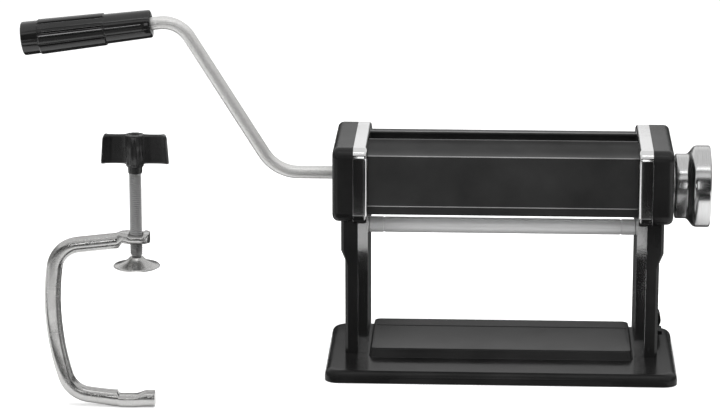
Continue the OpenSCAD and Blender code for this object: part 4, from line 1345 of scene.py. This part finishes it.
@dataclass
class Dial:
    """The thickness dial: a flared chromed knob with its pin, spring, screw and cap."""

    axis_y: float = -13.0
    axis_z: float = 120.0
    back_x: float = 111.2
    neck_l: float = 6.8
    flare_l: float = 6.0
    rim_l: float = 9.7
    neck_r: float = 21.0
    rim_r: float = 26.45
    bore_r: float = 4.1
    key_l: float = 4.8
    cavity_r: float = 8.0
    cap_r: float = 10.0
    cap_t: float = 2.6
    cap_room: float = 0.05
    rim_round: float = 1.3
    spring_wire: float = 0.5
    spring_turns: float = 6.0
    pull: float = 4.0

    def build(self) -> None:
        """Builds and dresses the dial."""
        keep_piece("thickness_knob_piece", self.knob(), ["thickness_knob"], DIAL_CHROME)
        keep_piece("knob_cap_piece", self.cap(), ["knob_cap"], DIAL_CHROME)
        dress_node("index_pin", ROLLER_STEEL, 0.3)
        grow_screws("shaft_screw")
        grow_springs("knob_spring", 0, self.spring_wire, self.spring_turns)

    def knob(self) -> bpy.types.Mesh:
        """Returns the knob, turned with its bore, its flare and its beaded rim."""
        neck_x, flare_x = self.back_x + self.neck_l, self.back_x + self.neck_l + self.flare_l
        end_x = flare_x + self.rim_l
        step, bend, seat_r = self.rim_r - self.neck_r, self.rim_round, self.cap_r + self.cap_room
        outer = [(self.back_x, self.neck_r - 0.8), (self.back_x + 0.25, self.neck_r - 0.25),
                 (self.back_x + 0.8, self.neck_r)]
        outer += [(neck_x + self.flare_l * t, self.neck_r + step * between(t, 0.0, 1.0) * 0.96)
                  for t in (i / 12 for i in range(13))]
        outer += [(flare_x + 0.9, self.rim_r - 0.05), (flare_x + 1.8, self.rim_r),
                  (end_x - bend, self.rim_r)]
        outer += [(end_x - bend + bend * math.sin(a), self.rim_r - bend * (1 - math.cos(a)))
                  for a in (math.radians(15 * i) for i in range(1, 7))]
        outer += [(end_x, self.rim_r - 4.0), (end_x - 0.7, self.rim_r - 4.6),
                  (end_x - 0.7, self.cap_r + 1.6), (end_x - 0.2, self.cap_r + 0.9),
                  (end_x - 0.2, seat_r), (end_x - self.cap_t, seat_r)]
        inner = [(end_x - self.cap_t, self.cavity_r), (self.back_x + self.key_l, self.cavity_r),
                 (self.back_x + self.key_l, self.bore_r), (self.back_x, self.bore_r)]
        return Shell().turned(outer + inner, (0, self.axis_y, self.axis_z), Axis.ALONG_X, 96,
                              joined=True).mesh("thickness_knob")

    def cap(self) -> bpy.types.Mesh:
        """Returns the cap with its soft edge and shallow dish."""
        low, high = box_mm("knob_cap")
        r = (high.z - low.z) / 2
        profile = [(low.x, 0.0), (low.x, r), (high.x - 0.5, r), (high.x - 0.15, r - 0.15),
                   (high.x, r - 0.5), (high.x, r - 1.6), (high.x - 0.35, r - 2.4),
                   (high.x - 0.45, 0.0)]
        return Shell().turned(profile, (0, self.axis_y, self.axis_z), Axis.ALONG_X).mesh("knob_cap")


@dataclass
class Crank:
    """The bent rod and its turning grip."""

    plane_y: float = 13.0
    rod_r: float = 4.25
    start: tuple[float, float, float] = (-81.0, 120.0, 180.0)
    runs: tuple[tuple[float, float, float], ...] = (
        (53.33, 27.0, 58.0), (91.196, 20.0, -65.3), (82.3, 0.0, 0.0))
    flat_end: float = 24.0
    flat_reach: float = 3.0
    face: tuple[float, float, float] = (-230.021, 13.0, 218.637)
    way: tuple[float, float, float] = (-0.991894, 0.0, -0.127065)
    grip_l: float = 85.5
    near_r: float = 10.0
    far_r: float = 11.8
    collar_end: float = 30.0
    far_collar: float = 11.0
    flutes: int = 9
    flute_depth: float = 1.35
    collar_step: float = 0.9
    end_step: float = 0.8
    recess_l: float = 8.5
    recess_r: float = 7.0
    bore_r: float = 4.6
    grip_sides: int = 160
    ridge_reach: tuple[float, float] = (0.14, 0.42)

    def build(self) -> None:
        """Builds and dresses the crank."""
        keep_piece("crank_rod_piece", self.rod(), ["crank_rod"], CRANK_ZINC)
        dress_node("grip_washer", SCREW_BRIGHT, 0.2)
        keep_piece("crank_grip_piece", self.grip(), ["crank_grip"], GRIP_PLASTIC)

    def rod(self) -> bpy.types.Mesh:
        """Returns the rod, with its driving flat and the riveted tip inside the grip's end."""
        r = self.rod_r
        stations = rod_stations(self.runs, self.start)

        def section(run: float) -> Section:
            """Returns the rod's section, which is flat on one side at its driving end."""
            flat = 1 - between(run, self.flat_end, self.flat_end + 1.0)
            return (r, r - flat * (r - self.flat_reach), r, ROUND_POWER)

        shell = swept(stations, self.plane_y, section)
        x, z, heading, _ = stations[-1]
        along = (math.cos(heading), 0.0, math.sin(heading))
        up = (-math.sin(heading), 0.0, math.cos(heading))
        shell.add(Shell().turned([(-0.5, 0.0), (-0.5, 2.5), (1.2, 2.5), (1.2, 3.5), (1.7, 3.5),
                                  (2.3, 2.8), (2.5, 1.6), (2.5, 0.0)],
                                 (x, self.plane_y, z), (along, up), 32))
        return shell.mesh("crank_rod")

    def grip_radius(self, at: float, turn: float) -> float:
        """Returns the grip's radius.

        Args:
            at: Distance from the face that the rod enters.
            turn: Angle round the grip in radians.

        Returns:
            The radius in millimetres.
        """
        body = self.near_r + (self.far_r - self.near_r) * at / self.grip_l
        fluted = between(at, self.collar_end, self.collar_end + 1.0)
        body -= self.collar_step * (1 - fluted)
        at_end = between(at, self.grip_l - self.far_collar - 1.0, self.grip_l - self.far_collar)
        body -= self.end_step * at_end
        fluted *= 1 - at_end
        ridge = between(abs(math.sin(self.flutes * turn / 2)), *self.ridge_reach)
        return body - fluted * self.flute_depth * (1 - ridge)

    def grip(self) -> bpy.types.Mesh:
        """Returns the grip with its ridges, collars, bore and end recess."""
        along, face = Vector(self.way), Vector(self.face)
        up = unit(1)
        side = along.cross(up)

        def ring(at: float, radius: Callable[[float], float]) -> list[Vector]:
            """Returns points round the grip's axis, at a radius that may change with the angle."""
            return [face + along * at + (up * math.cos(t) + side * math.sin(t)) * radius(t)
                    for t in part_turns(self.grip_sides)]

        last = self.grip_l - self.far_collar
        places = [(0.0, -1.1), (0.35, -0.35), (1.1, 0.0)]
        places += [(1.1 + (self.collar_end - 3.1) * i / 5, 0.0) for i in range(1, 6)]
        places += [(self.collar_end + 0.4 * i, 0.0) for i in range(-3, 6)]
        places += [(self.collar_end + 2.4 + (last - self.collar_end - 5.4) * i / 14, 0.0)
                   for i in range(15)]
        places += [(last - 2.6 + 0.4 * i, 0.0) for i in range(8)]
        places += [(self.grip_l - 1.2, 0.0), (self.grip_l - 0.4, -0.35), (self.grip_l, -1.2)]
        rings = [ring(at, lambda t: self.grip_radius(at, t) + less) for at, less in places]
        floor_at = self.grip_l - self.recess_l
        inner = [(self.grip_l, self.recess_r + 0.5), (self.grip_l - 0.5, self.recess_r),
                 (floor_at, self.recess_r), (floor_at, self.bore_r), (0.5, self.bore_r),
                 (0.0, self.bore_r + 0.5)]
        rings += [ring(at, lambda t: r) for at, r in inner]
        return Shell().loft(rings, joined=True).mesh("crank_grip")


@dataclass
class TableClamp:
    """The bent clamp with its screw, wing knob and pressure foot."""

    axis_x: float = -227.0
    plane_y: float = -119.0
    rod_r: float = 5.0
    start: tuple[float, float, float] = (-239.4, 107.82, 186.8)
    runs: tuple[tuple[float, float, float], ...] = (
        (24.5, 17.0, -75.2), (0.0, 165.0, -25.0), (0.0, 17.0, -66.0), (16.4, 0.0, 0.0))
    eye_low: float = 106.92
    eye_t: float = 6.6
    eye_r: float = 8.4
    eye_bore: float = 4.35
    eye_step: float = 0.7
    eye_square: float = 3.4
    eye_power: float = 3.6
    eye_narrows: float = 11.0
    eye_blend: tuple[float, float] = (-0.5, 4.0)
    block_drop: float = 0.9
    block_from: tuple[float, float] = (3.4, 4.1)
    block_until: tuple[float, float] = (11.5, 13.5)
    flat_depth: float = 0.15
    flat_power: float = 2.7
    flat_from: tuple[float, float] = (45.0, 60.0)
    flat_until: tuple[float, float] = (-45.0, -30.0)
    thread_r: float = 4.0
    pitch: float = 1.25
    wing_h: float = 18.6
    wing_half_t: float = 3.2
    wing_shares: tuple[tuple[float, float], ...] = (
        (0.0, 1.0), (0.12, 0.66), (0.3, 0.5), (0.55, 0.5), (0.78, 0.6), (0.88, 0.95), (0.95, 1.0),
        (0.985, 0.86), (1.0, 0.45))
    hub_r: float = 6.4
    hub_sides: int = 120
    hub_flutes: int = 12
    hub_flute: float = 0.35
    stub_r: float = 5.3
    stub_l: float = 25.6
    stub_step: float = 0.64
    stub_swell: float = 8.0
    notch_from: tuple[float, float] = (2.0, 3.0)
    notch_until: tuple[float, float] = (12.5, 21.0)
    notch_depth: float = 2.9
    notch_bulge: float = 0.5
    notch_power: float = 2.8

    def build(self) -> None:
        """Builds and dresses the clamp."""
        keep_piece("clamp_frame_piece", self.frame_mesh(), ["clamp_frame"], CLAMP_ZINC)
        keep_piece("pressure_foot_piece", self.foot(), ["pressure_foot"], CLAMP_ZINC)
        keep_piece("clamp_screw_piece", self.screw(), ["clamp_screw"], THREAD_ZINC)
        keep_piece("wing_knob_piece", self.wings(), ["wing_knob"], WING_PLASTIC)

    def frame_stations(self) -> list[Station]:
        """Returns stations from the eye's end, round the bends, to the stub's end."""
        x0, z0, heading = self.start
        eye_z, eye_x, eye_run = self.eye_low + self.eye_t / 2, self.axis_x + self.eye_r, 2 * self.eye_r
        step, stub = self.eye_step, self.stub_step
        made = [(eye_x - i * step, eye_z, math.pi, i * step) for i in range(round(eye_run / step) + 1)]
        for i in range(1, 8):
            share = between(i / 8, 0.0, 1.0)
            made.append((eye_x - eye_run + (x0 - eye_x + eye_run) * i / 8, eye_z + (z0 - eye_z) * share,
                         math.pi + (math.radians(heading) - math.pi) * share, eye_run + i * 0.5))
        made += [(x, z, h, run + eye_run + 4.0) for x, z, h, run in rod_stations(self.runs, self.start, 2.5)]
        x1, _, _, run1 = made[-1]
        return made + [(x1 + i * stub, self.stub_r, 2 * math.pi, run1 + i * stub)
                       for i in range(1, round(self.stub_l / stub) + 1)]

    def frame_section(self, run: float, total: float) -> Section:
        """Returns the rod's section: flat at the eye, round on the way, notched at the stub.

        Args:
            run: Distance from the eye's end.
            total: Length of the whole rod.

        Returns:
            Reach to the left, reach to the right, half width and exponent.
        """
        r, eye_run, half = self.rod_r, 2 * self.eye_r, self.eye_t / 2
        blend_start, blend_end = (eye_run + at for at in self.eye_blend)
        if run < blend_end + 1.0:
            end = max(0.0, 1 - max(run, 0.12) / self.eye_r)
            plan = (1 - end ** self.eye_square) ** (1 / self.eye_square) * self.eye_r
            rod = between(run, blend_start, blend_end)
            dip = self.block_drop * between(run, *self.block_from) * (1 - between(run, *self.block_until))
            narrow = plan - (plan - r) * between(run, self.eye_narrows, blend_end)
            return (half + (r - half) * rod, half - dip + (r - half) * rod, narrow,
                    self.eye_power + (ROUND_POWER - self.eye_power) * rod)
        stub = run - (total - self.stub_l)
        if stub < -self.stub_swell:
            flat = between(run, *self.flat_from) * (1 - between(stub, *self.flat_until))
            return (r, r, r - self.flat_depth * flat, ROUND_POWER + (self.flat_power - ROUND_POWER) * flat)
        full = r + (self.stub_r - r) * between(stub, -self.stub_swell, 0.0)
        cut = between(stub, *self.notch_from) * (1 - between(stub, *self.notch_until))
        full -= 0.5 * between(stub, self.stub_l - 0.5, self.stub_l)
        return (full - self.notch_depth * cut, full, full + self.notch_bulge * cut,
                ROUND_POWER + (self.notch_power - ROUND_POWER) * cut)

    def frame_mesh(self) -> bpy.types.Mesh:
        """Returns the bent rod with its flattened eye and its notched stub."""
        stations = self.frame_stations()
        total = stations[-1][3]
        work = put("frame_body", swept(stations, self.plane_y, lambda run: self.frame_section(run, total),
                                       44).mesh("frame_body"))
        low, high = self.eye_low - 4, self.eye_low + 12
        cutter = put("frame_bore", Shell().turned(
            [(low, 0.0), (low, self.eye_bore), (high, self.eye_bore), (high, 0.0)],
            (self.axis_x, self.plane_y, 0), Axis.ALONG_Z, 40).mesh("frame_bore"))
        cut = work.modifiers.new("bore", "BOOLEAN")
        cut.object = cutter
        cut.operation = "DIFFERENCE"
        cut.solver = "EXACT"
        mesh = evaluated(work)
        bpy.data.objects.remove(cutter)
        return mesh

    def foot(self) -> bpy.types.Mesh:
        """Returns the dished foot with its neck."""
        low, high = box_mm("pressure_foot")
        r, z0, z1 = (high.x - low.x) / 2, low.z, high.z
        profile = [(z0 + 1.3, 0.0), (z0 + 1.3, 3.0), (z0 + 1.0, 8.0), (z0 + 0.3, 12.0), (z0, r - 1.2),
                   (z0 + 0.15, r - 0.3), (z0 + 0.7, r), (z0 + 1.15, r - 0.4), (z0 + 1.5, r - 2.2),
                   (z0 + 2.4, 10.0), (z0 + 3.6, 7.4), (z0 + 4.7, 5.6), (z1 - 0.5, 4.6), (z1, 4.2),
                   (z1, 2.9), (z1 - 3.0, 2.9), (z1 - 3.0, 0.0)]
        return Shell().turned(profile, (self.axis_x, self.plane_y, 0), Axis.ALONG_Z, 72).mesh("foot")

    def screw(self) -> bpy.types.Mesh:
        """Returns the screw: a core with its tip and stem, and a grown thread."""
        low, high = box_mm("clamp_screw")
        knob_low = box_mm("wing_knob")[0].z
        foot_high = box_mm("pressure_foot")[1].z
        flank = self.pitch / 2
        root = self.thread_r - flank
        start, end = foot_high + 1.4, knob_low + 0.4
        core = Shell().turned([
            (low.z, 0.0), (low.z, 2.2), (low.z + 0.5, 2.5), (foot_high + 0.6, 2.5), (start, root + 0.05),
            (end, root + 0.05), (end, 3.1), (high.z - 0.5, 3.1), (high.z, 2.6), (high.z, 0.0)],
            (self.axis_x, self.plane_y, 0), Axis.ALONG_Z, 48)
        turns = math.floor((end - start - 2 * flank) / self.pitch)
        helix = grow("thread", GrowTrees.get(Growth.THREAD), {
            "Root Radius": root * MM, "Flank": flank * 0.98 * MM, "Length": turns * self.pitch * MM,
            "Turns": float(turns),
            "Base": (self.axis_x * MM, self.plane_y * MM, (start + flank) * MM),
            "Material": THREAD_ZINC.material()})
        mesh = core.mesh("clamp_screw")
        take_in(mesh, [helix])
        return mesh

    def wings(self) -> bpy.types.Mesh:
        """Returns the wing knob: two framed wings, a fluted hub and a stepped collar."""
        low, high = box_mm("wing_knob")
        collar_low, z1 = low.z, high.z
        z0 = z1 - self.wing_h
        hub = [(collar_low, 3.3), (collar_low, 4.0), (collar_low + 0.5, 4.4), (collar_low + 4.2, 4.6),
               (collar_low + 4.6, 5.4), (z0 - 0.2, 5.6), (z0, 6.1), (z0 + 0.6, self.hub_r),
               (z1 - 0.7, self.hub_r), (z1 - 0.2, self.hub_r - 0.3), (z1, self.hub_r - 0.9), (z1, 3.0),
               (z1 - 0.6, 2.6), (z1 - 0.6, 0.0)]
        rings = []
        for z, r in hub:
            depth = self.hub_flute if z0 <= z <= z1 and r > 4 else 0.0
            ring = []
            for t in part_turns(self.hub_sides):
                reach = max(r - depth * (0.5 + 0.5 * math.cos(self.hub_flutes * t)), CLOSED_R)
                ring.append(Vector((self.axis_x + reach * math.cos(t),
                                    self.plane_y + reach * math.sin(t), z)))
            rings.append(ring)
        shell = Shell().loft(rings)
        for side in (-1, 1):
            shell.add(self.wing(side, z0, z1, (high.x - low.x) / 2))
        return shell.mesh("wing_knob")

    def wing(self, side: int, z0: float, z1: float, half_w: float) -> Shell:
        """Returns one wing, thin in its panel and thick along its outer edge.

        Args:
            side: -1 for the left wing, 1 for the right one.
            z0: Its underside.
            z1: Its top.
            half_w: Reach of its outer edge.

        Returns:
            The wing.
        """
        rings, inner = [], self.hub_r - 1.6
        for share, thin in self.wing_shares:
            reach = inner + (half_w - inner) * share
            low_z, high_z = z0 + 0.25, z1 - 0.1
            half = self.wing_half_t * thin
            edge = min(0.9, half * 0.6)
            corner = 2.2 * between(share, 0.9, 1.0) ** 2
            lean = 1.3 * share
            ring = []
            for dy, z in ((-half + edge, low_z), (half - edge, low_z), (half, low_z + edge),
                          (half, high_z - edge - corner), (half - edge, high_z - corner),
                          (-half + edge, high_z - corner), (-half, high_z - edge - corner),
                          (-half, low_z + edge)):
                taper = lean * (z - low_z) / (high_z - low_z)
                ring.append(Vector((self.axis_x + side * (reach - taper), self.plane_y + dy, z)))
            rings.append(ring)
        return Shell().loft(rings)


@dataclass(frozen=True)
class Card:
    """A flat card that only reflections see, level or upright, in millimetres."""

    name: str
    low: tuple[float, float, float]
    high: tuple[float, float, float]
    level: float

    def hang(self) -> None:
        """Hangs the card."""
        (x0, y0, z0), (x1, y1, z1) = self.low, self.high
        if z0 == z1:
            corners = [(x0, y0, z0), (x1, y0, z0), (x1, y1, z0), (x0, y1, z0)]
        else:
            corners = [(x0, y0, z0), (x1, y1, z0), (x1, y1, z1), (x0, y0, z1)]
        mesh = Shell([Vector(c) for c in corners], [(0, 1, 2, 3)]).mesh(self.name)
        material, wiring, out = bare_material(self.name)
        tone = wiring.add("ShaderNodeEmission", {"Color": shade(self.level), "Strength": 1.0})
        wiring.join(tone.outputs[0], out.inputs["Surface"])
        mesh.materials.append(material)
        card = put(self.name, mesh)
        for ray in ("camera", "diffuse", "shadow", "transmission"):
            setattr(card, f"visible_{ray}", False)


@dataclass(frozen=True)
class Softbox:
    """A soft light, in metres and watts."""

    name: str
    place: tuple[float, float, float]
    target: tuple[float, float, float]
    size: tuple[float, float]
    power: float
    mirrored: bool = False

    def hang(self) -> None:
        """Hangs the light."""
        data = bpy.data.lights.new(self.name, "AREA")
        data.shape = "RECTANGLE"
        data.size, data.size_y = self.size
        data.energy = self.power
        light = put(self.name, data)
        light.location = self.place
        light.rotation_euler = (Vector(self.target) - Vector(self.place)).to_track_quat("-Z", "Y").to_euler()
        light.visible_glossy = self.mirrored


@dataclass
class Studio:
    """Floor, lights, world and the camera of the photograph."""

    elevation: float = 15.05
    camera_place: tuple[float, float, float] = (0.0, -2.0385, 0.6339)
    lens: float = 160.81725
    sensor_w: float = 36.0
    aim_left: float = 0.0443
    aim_up: float = 0.0059
    floor_half_w: float = 6000.0
    floor_shade: float = 0.86
    floor_glow: float = 0.42
    ambient: float = 0.42
    mirrored_sky: float = 0.8
    softboxes: tuple[Softbox, ...] = (
        Softbox("overhead", (0.0, -0.25, 1.5), (0.0, 0.0, 0.0), (1.6, 1.2), 26.0),
        Softbox("strip", (0.0, -0.95, 2.1), (0.0, 0.0, 0.1), (1.5, 0.2), 2.0, mirrored=True),
        Softbox("front_left", (-1.3, -1.5, 0.9), (0.0, 0.0, 0.08), (0.9, 0.9), 9.0),
        Softbox("front_right", (1.4, -1.2, 0.8), (0.0, 0.0, 0.08), (0.9, 0.9), 9.0),
    )
    cards: tuple[Card, ...] = (
        Card("back_low_flag", (-130, 1200, 1), (140, 1200, 400), 0.3),
        Card("back_left_flag", (-2400, 1200, 1), (-130, 1200, 400), 0.05),
        Card("back_right_flag", (140, 1200, 1), (2400, 1200, 400), 0.05),
        Card("back_high_flag", (-2400, 1200, 400), (2400, 1200, 1100), 0.95),
        Card("front_low_flag", (-3200, -2300, 1), (3200, -2300, 1900), 0.02),
        Card("front_mid_flag", (-3200, -2300, 1900), (3200, -2300, 3000), 0.9),
        Card("front_high_flag", (-3200, -2300, 3000), (3200, -2300, 4300), 0.3),
        Card("left_flag", (-1500, -900, 1), (-1500, 1200, 900), 0.3),
        Card("right_flag", (1500, -900, 1), (1500, 1200, 900), 0.12),
        Card("left_card", (-190, -2200, 0.3), (-72, -400, 0.3), 0.012),
        Card("right_card", (72, -2200, 0.3), (420, -400, 0.3), 0.012),
        Card("left_near_card", (-190, -315, 0.3), (-72, -68.3, 0.3), 0.01),
        Card("right_near_card", (72, -315, 0.3), (111, -68.3, 0.3), 0.01),
        Card("right_knob_card", (111, -400, 0.3), (420, -259, 0.3), 0.012),
        Card("left_line_card", (-120, -400, 0.3), (-72, -315, 0.3), 0.42),
        Card("right_line_card", (72, -400, 0.3), (111, -315, 0.3), 0.42),
        Card("tie_rod_card", (-120, -1200, 260), (120, -1200, 700), 1.6),
        Card("grip_card", (-520, -900, 375), (-335, -900, 440), 7.0),
        Card("middle_card", (-72, -2200, 0.3), (72, -420, 0.3), 0.1),
        Card("middle_near_card", (-72, -420, 0.3), (72, -68.3, 0.3), 0.5),
        Card("rod_card", (-900, -2200, 0.3), (-190, -420, 0.3), 0.25),
        Card("rod_line_card", (-900, -250, 0.3), (-190, -165, 0.3), 0.05),
        Card("rear_card", (-420, 46, 0.3), (220, 900, 0.3), 0.05),
    )

    def build(self) -> None:
        """Sets up the studio."""
        self.camera()
        self.floor()
        for card in self.cards:
            card.hang()
        self.world()
        for softbox in self.softboxes:
            softbox.hang()
        bpy.context.scene.view_settings.view_transform = "Standard"

    def camera(self) -> None:
        """Places the camera at the photograph's viewing angle."""
        e = math.radians(self.elevation)
        forward, up = Vector((0, math.cos(e), -math.sin(e))), Vector((0, math.sin(e), math.cos(e)))
        look = forward - unit(0, self.aim_left) + up * self.aim_up
        data = bpy.data.cameras.new("photo_view")
        data.lens = self.lens
        data.sensor_width = self.sensor_w
        camera = put("photo_view", data)
        camera.location = self.camera_place
        camera.rotation_euler = look.to_track_quat("-Z", "Y").to_euler()
        bpy.context.scene.camera = camera

    @staticmethod
    def seen(wiring: Wiring) -> tuple[bpy.types.NodeSocket, bpy.types.NodeSocket]:
        """Tells which rays look at a surface.

        Args:
            wiring: The nodes of a material or of the world.

        Returns:
            1 for rays that the eye sees directly or through glass, and 1 for mirrored rays.
        """
        path = wiring.add("ShaderNodeLightPath")
        eye = wiring.add("ShaderNodeMath", {
            0: path.outputs["Is Camera Ray"], 1: path.outputs["Is Transmission Ray"]},
            operation="MAXIMUM")
        return eye.outputs[0], path.outputs["Is Glossy Ray"]

    def world(self) -> None:
        """Makes the surroundings white to the eye and in reflections, and mild as a light."""
        world = bpy.data.worlds.new("studio")
        world.use_nodes = True
        world.node_tree.nodes.clear()
        wiring = Wiring(world.node_tree)
        eye, glossy = self.seen(wiring)
        white = wiring.add("ShaderNodeMapRange", {"Value": eye, "To Min": self.ambient, "To Max": 1.0})
        mirrored = wiring.add("ShaderNodeMath", {0: glossy, 1: self.mirrored_sky}, operation="MULTIPLY")
        level = wiring.add("ShaderNodeMath", {
            0: white.outputs["Result"], 1: mirrored.outputs[0]}, operation="MAXIMUM")
        background = wiring.add("ShaderNodeBackground", {"Color": shade(1.0), "Strength": level.outputs[0]})
        out = wiring.add("ShaderNodeOutputWorld")
        wiring.join(background.outputs["Background"], out.inputs["Surface"])
        bpy.context.scene.world = world

    def floor(self) -> None:
        """Lays a wide pale floor that keeps the shadow and goes over into the white behind it."""
        half = self.floor_half_w
        mesh = Shell([Vector((x * half, y * half, 0.0)) for x, y in ((-1, -1), (1, -1), (1, 1), (-1, 1))],
                     [(0, 1, 2, 3)]).mesh("floor")
        material, wiring, out = bare_material("pale_floor")
        matt = wiring.add("ShaderNodeBsdfDiffuse", {"Color": shade(self.floor_shade)})
        strength = wiring.add("ShaderNodeMath", {0: self.seen(wiring)[0], 1: self.floor_glow},
                              operation="MULTIPLY")
        glow = wiring.add("ShaderNodeEmission", {"Color": shade(1.0), "Strength": strength.outputs[0]})
        added = wiring.add("ShaderNodeAddShader", {0: matt.outputs[0], 1: glow.outputs[0]})
        wiring.join(added.outputs[0], out.inputs["Surface"])
        mesh.materials.append(material)
        put("floor", mesh)


def main() -> None:
    """Builds the sub-assemblies and the studio."""
    logging.basicConfig(level=logging.INFO, format="%(name)s: %(message)s")
    for part in (Base(), SideFrames(), RollerDrive(), Dial(), Crank(), TableClamp(), Studio()):
        part.build()
        log.info("%s is built", type(part).__name__)


if __name__ == "__main__":
    main()
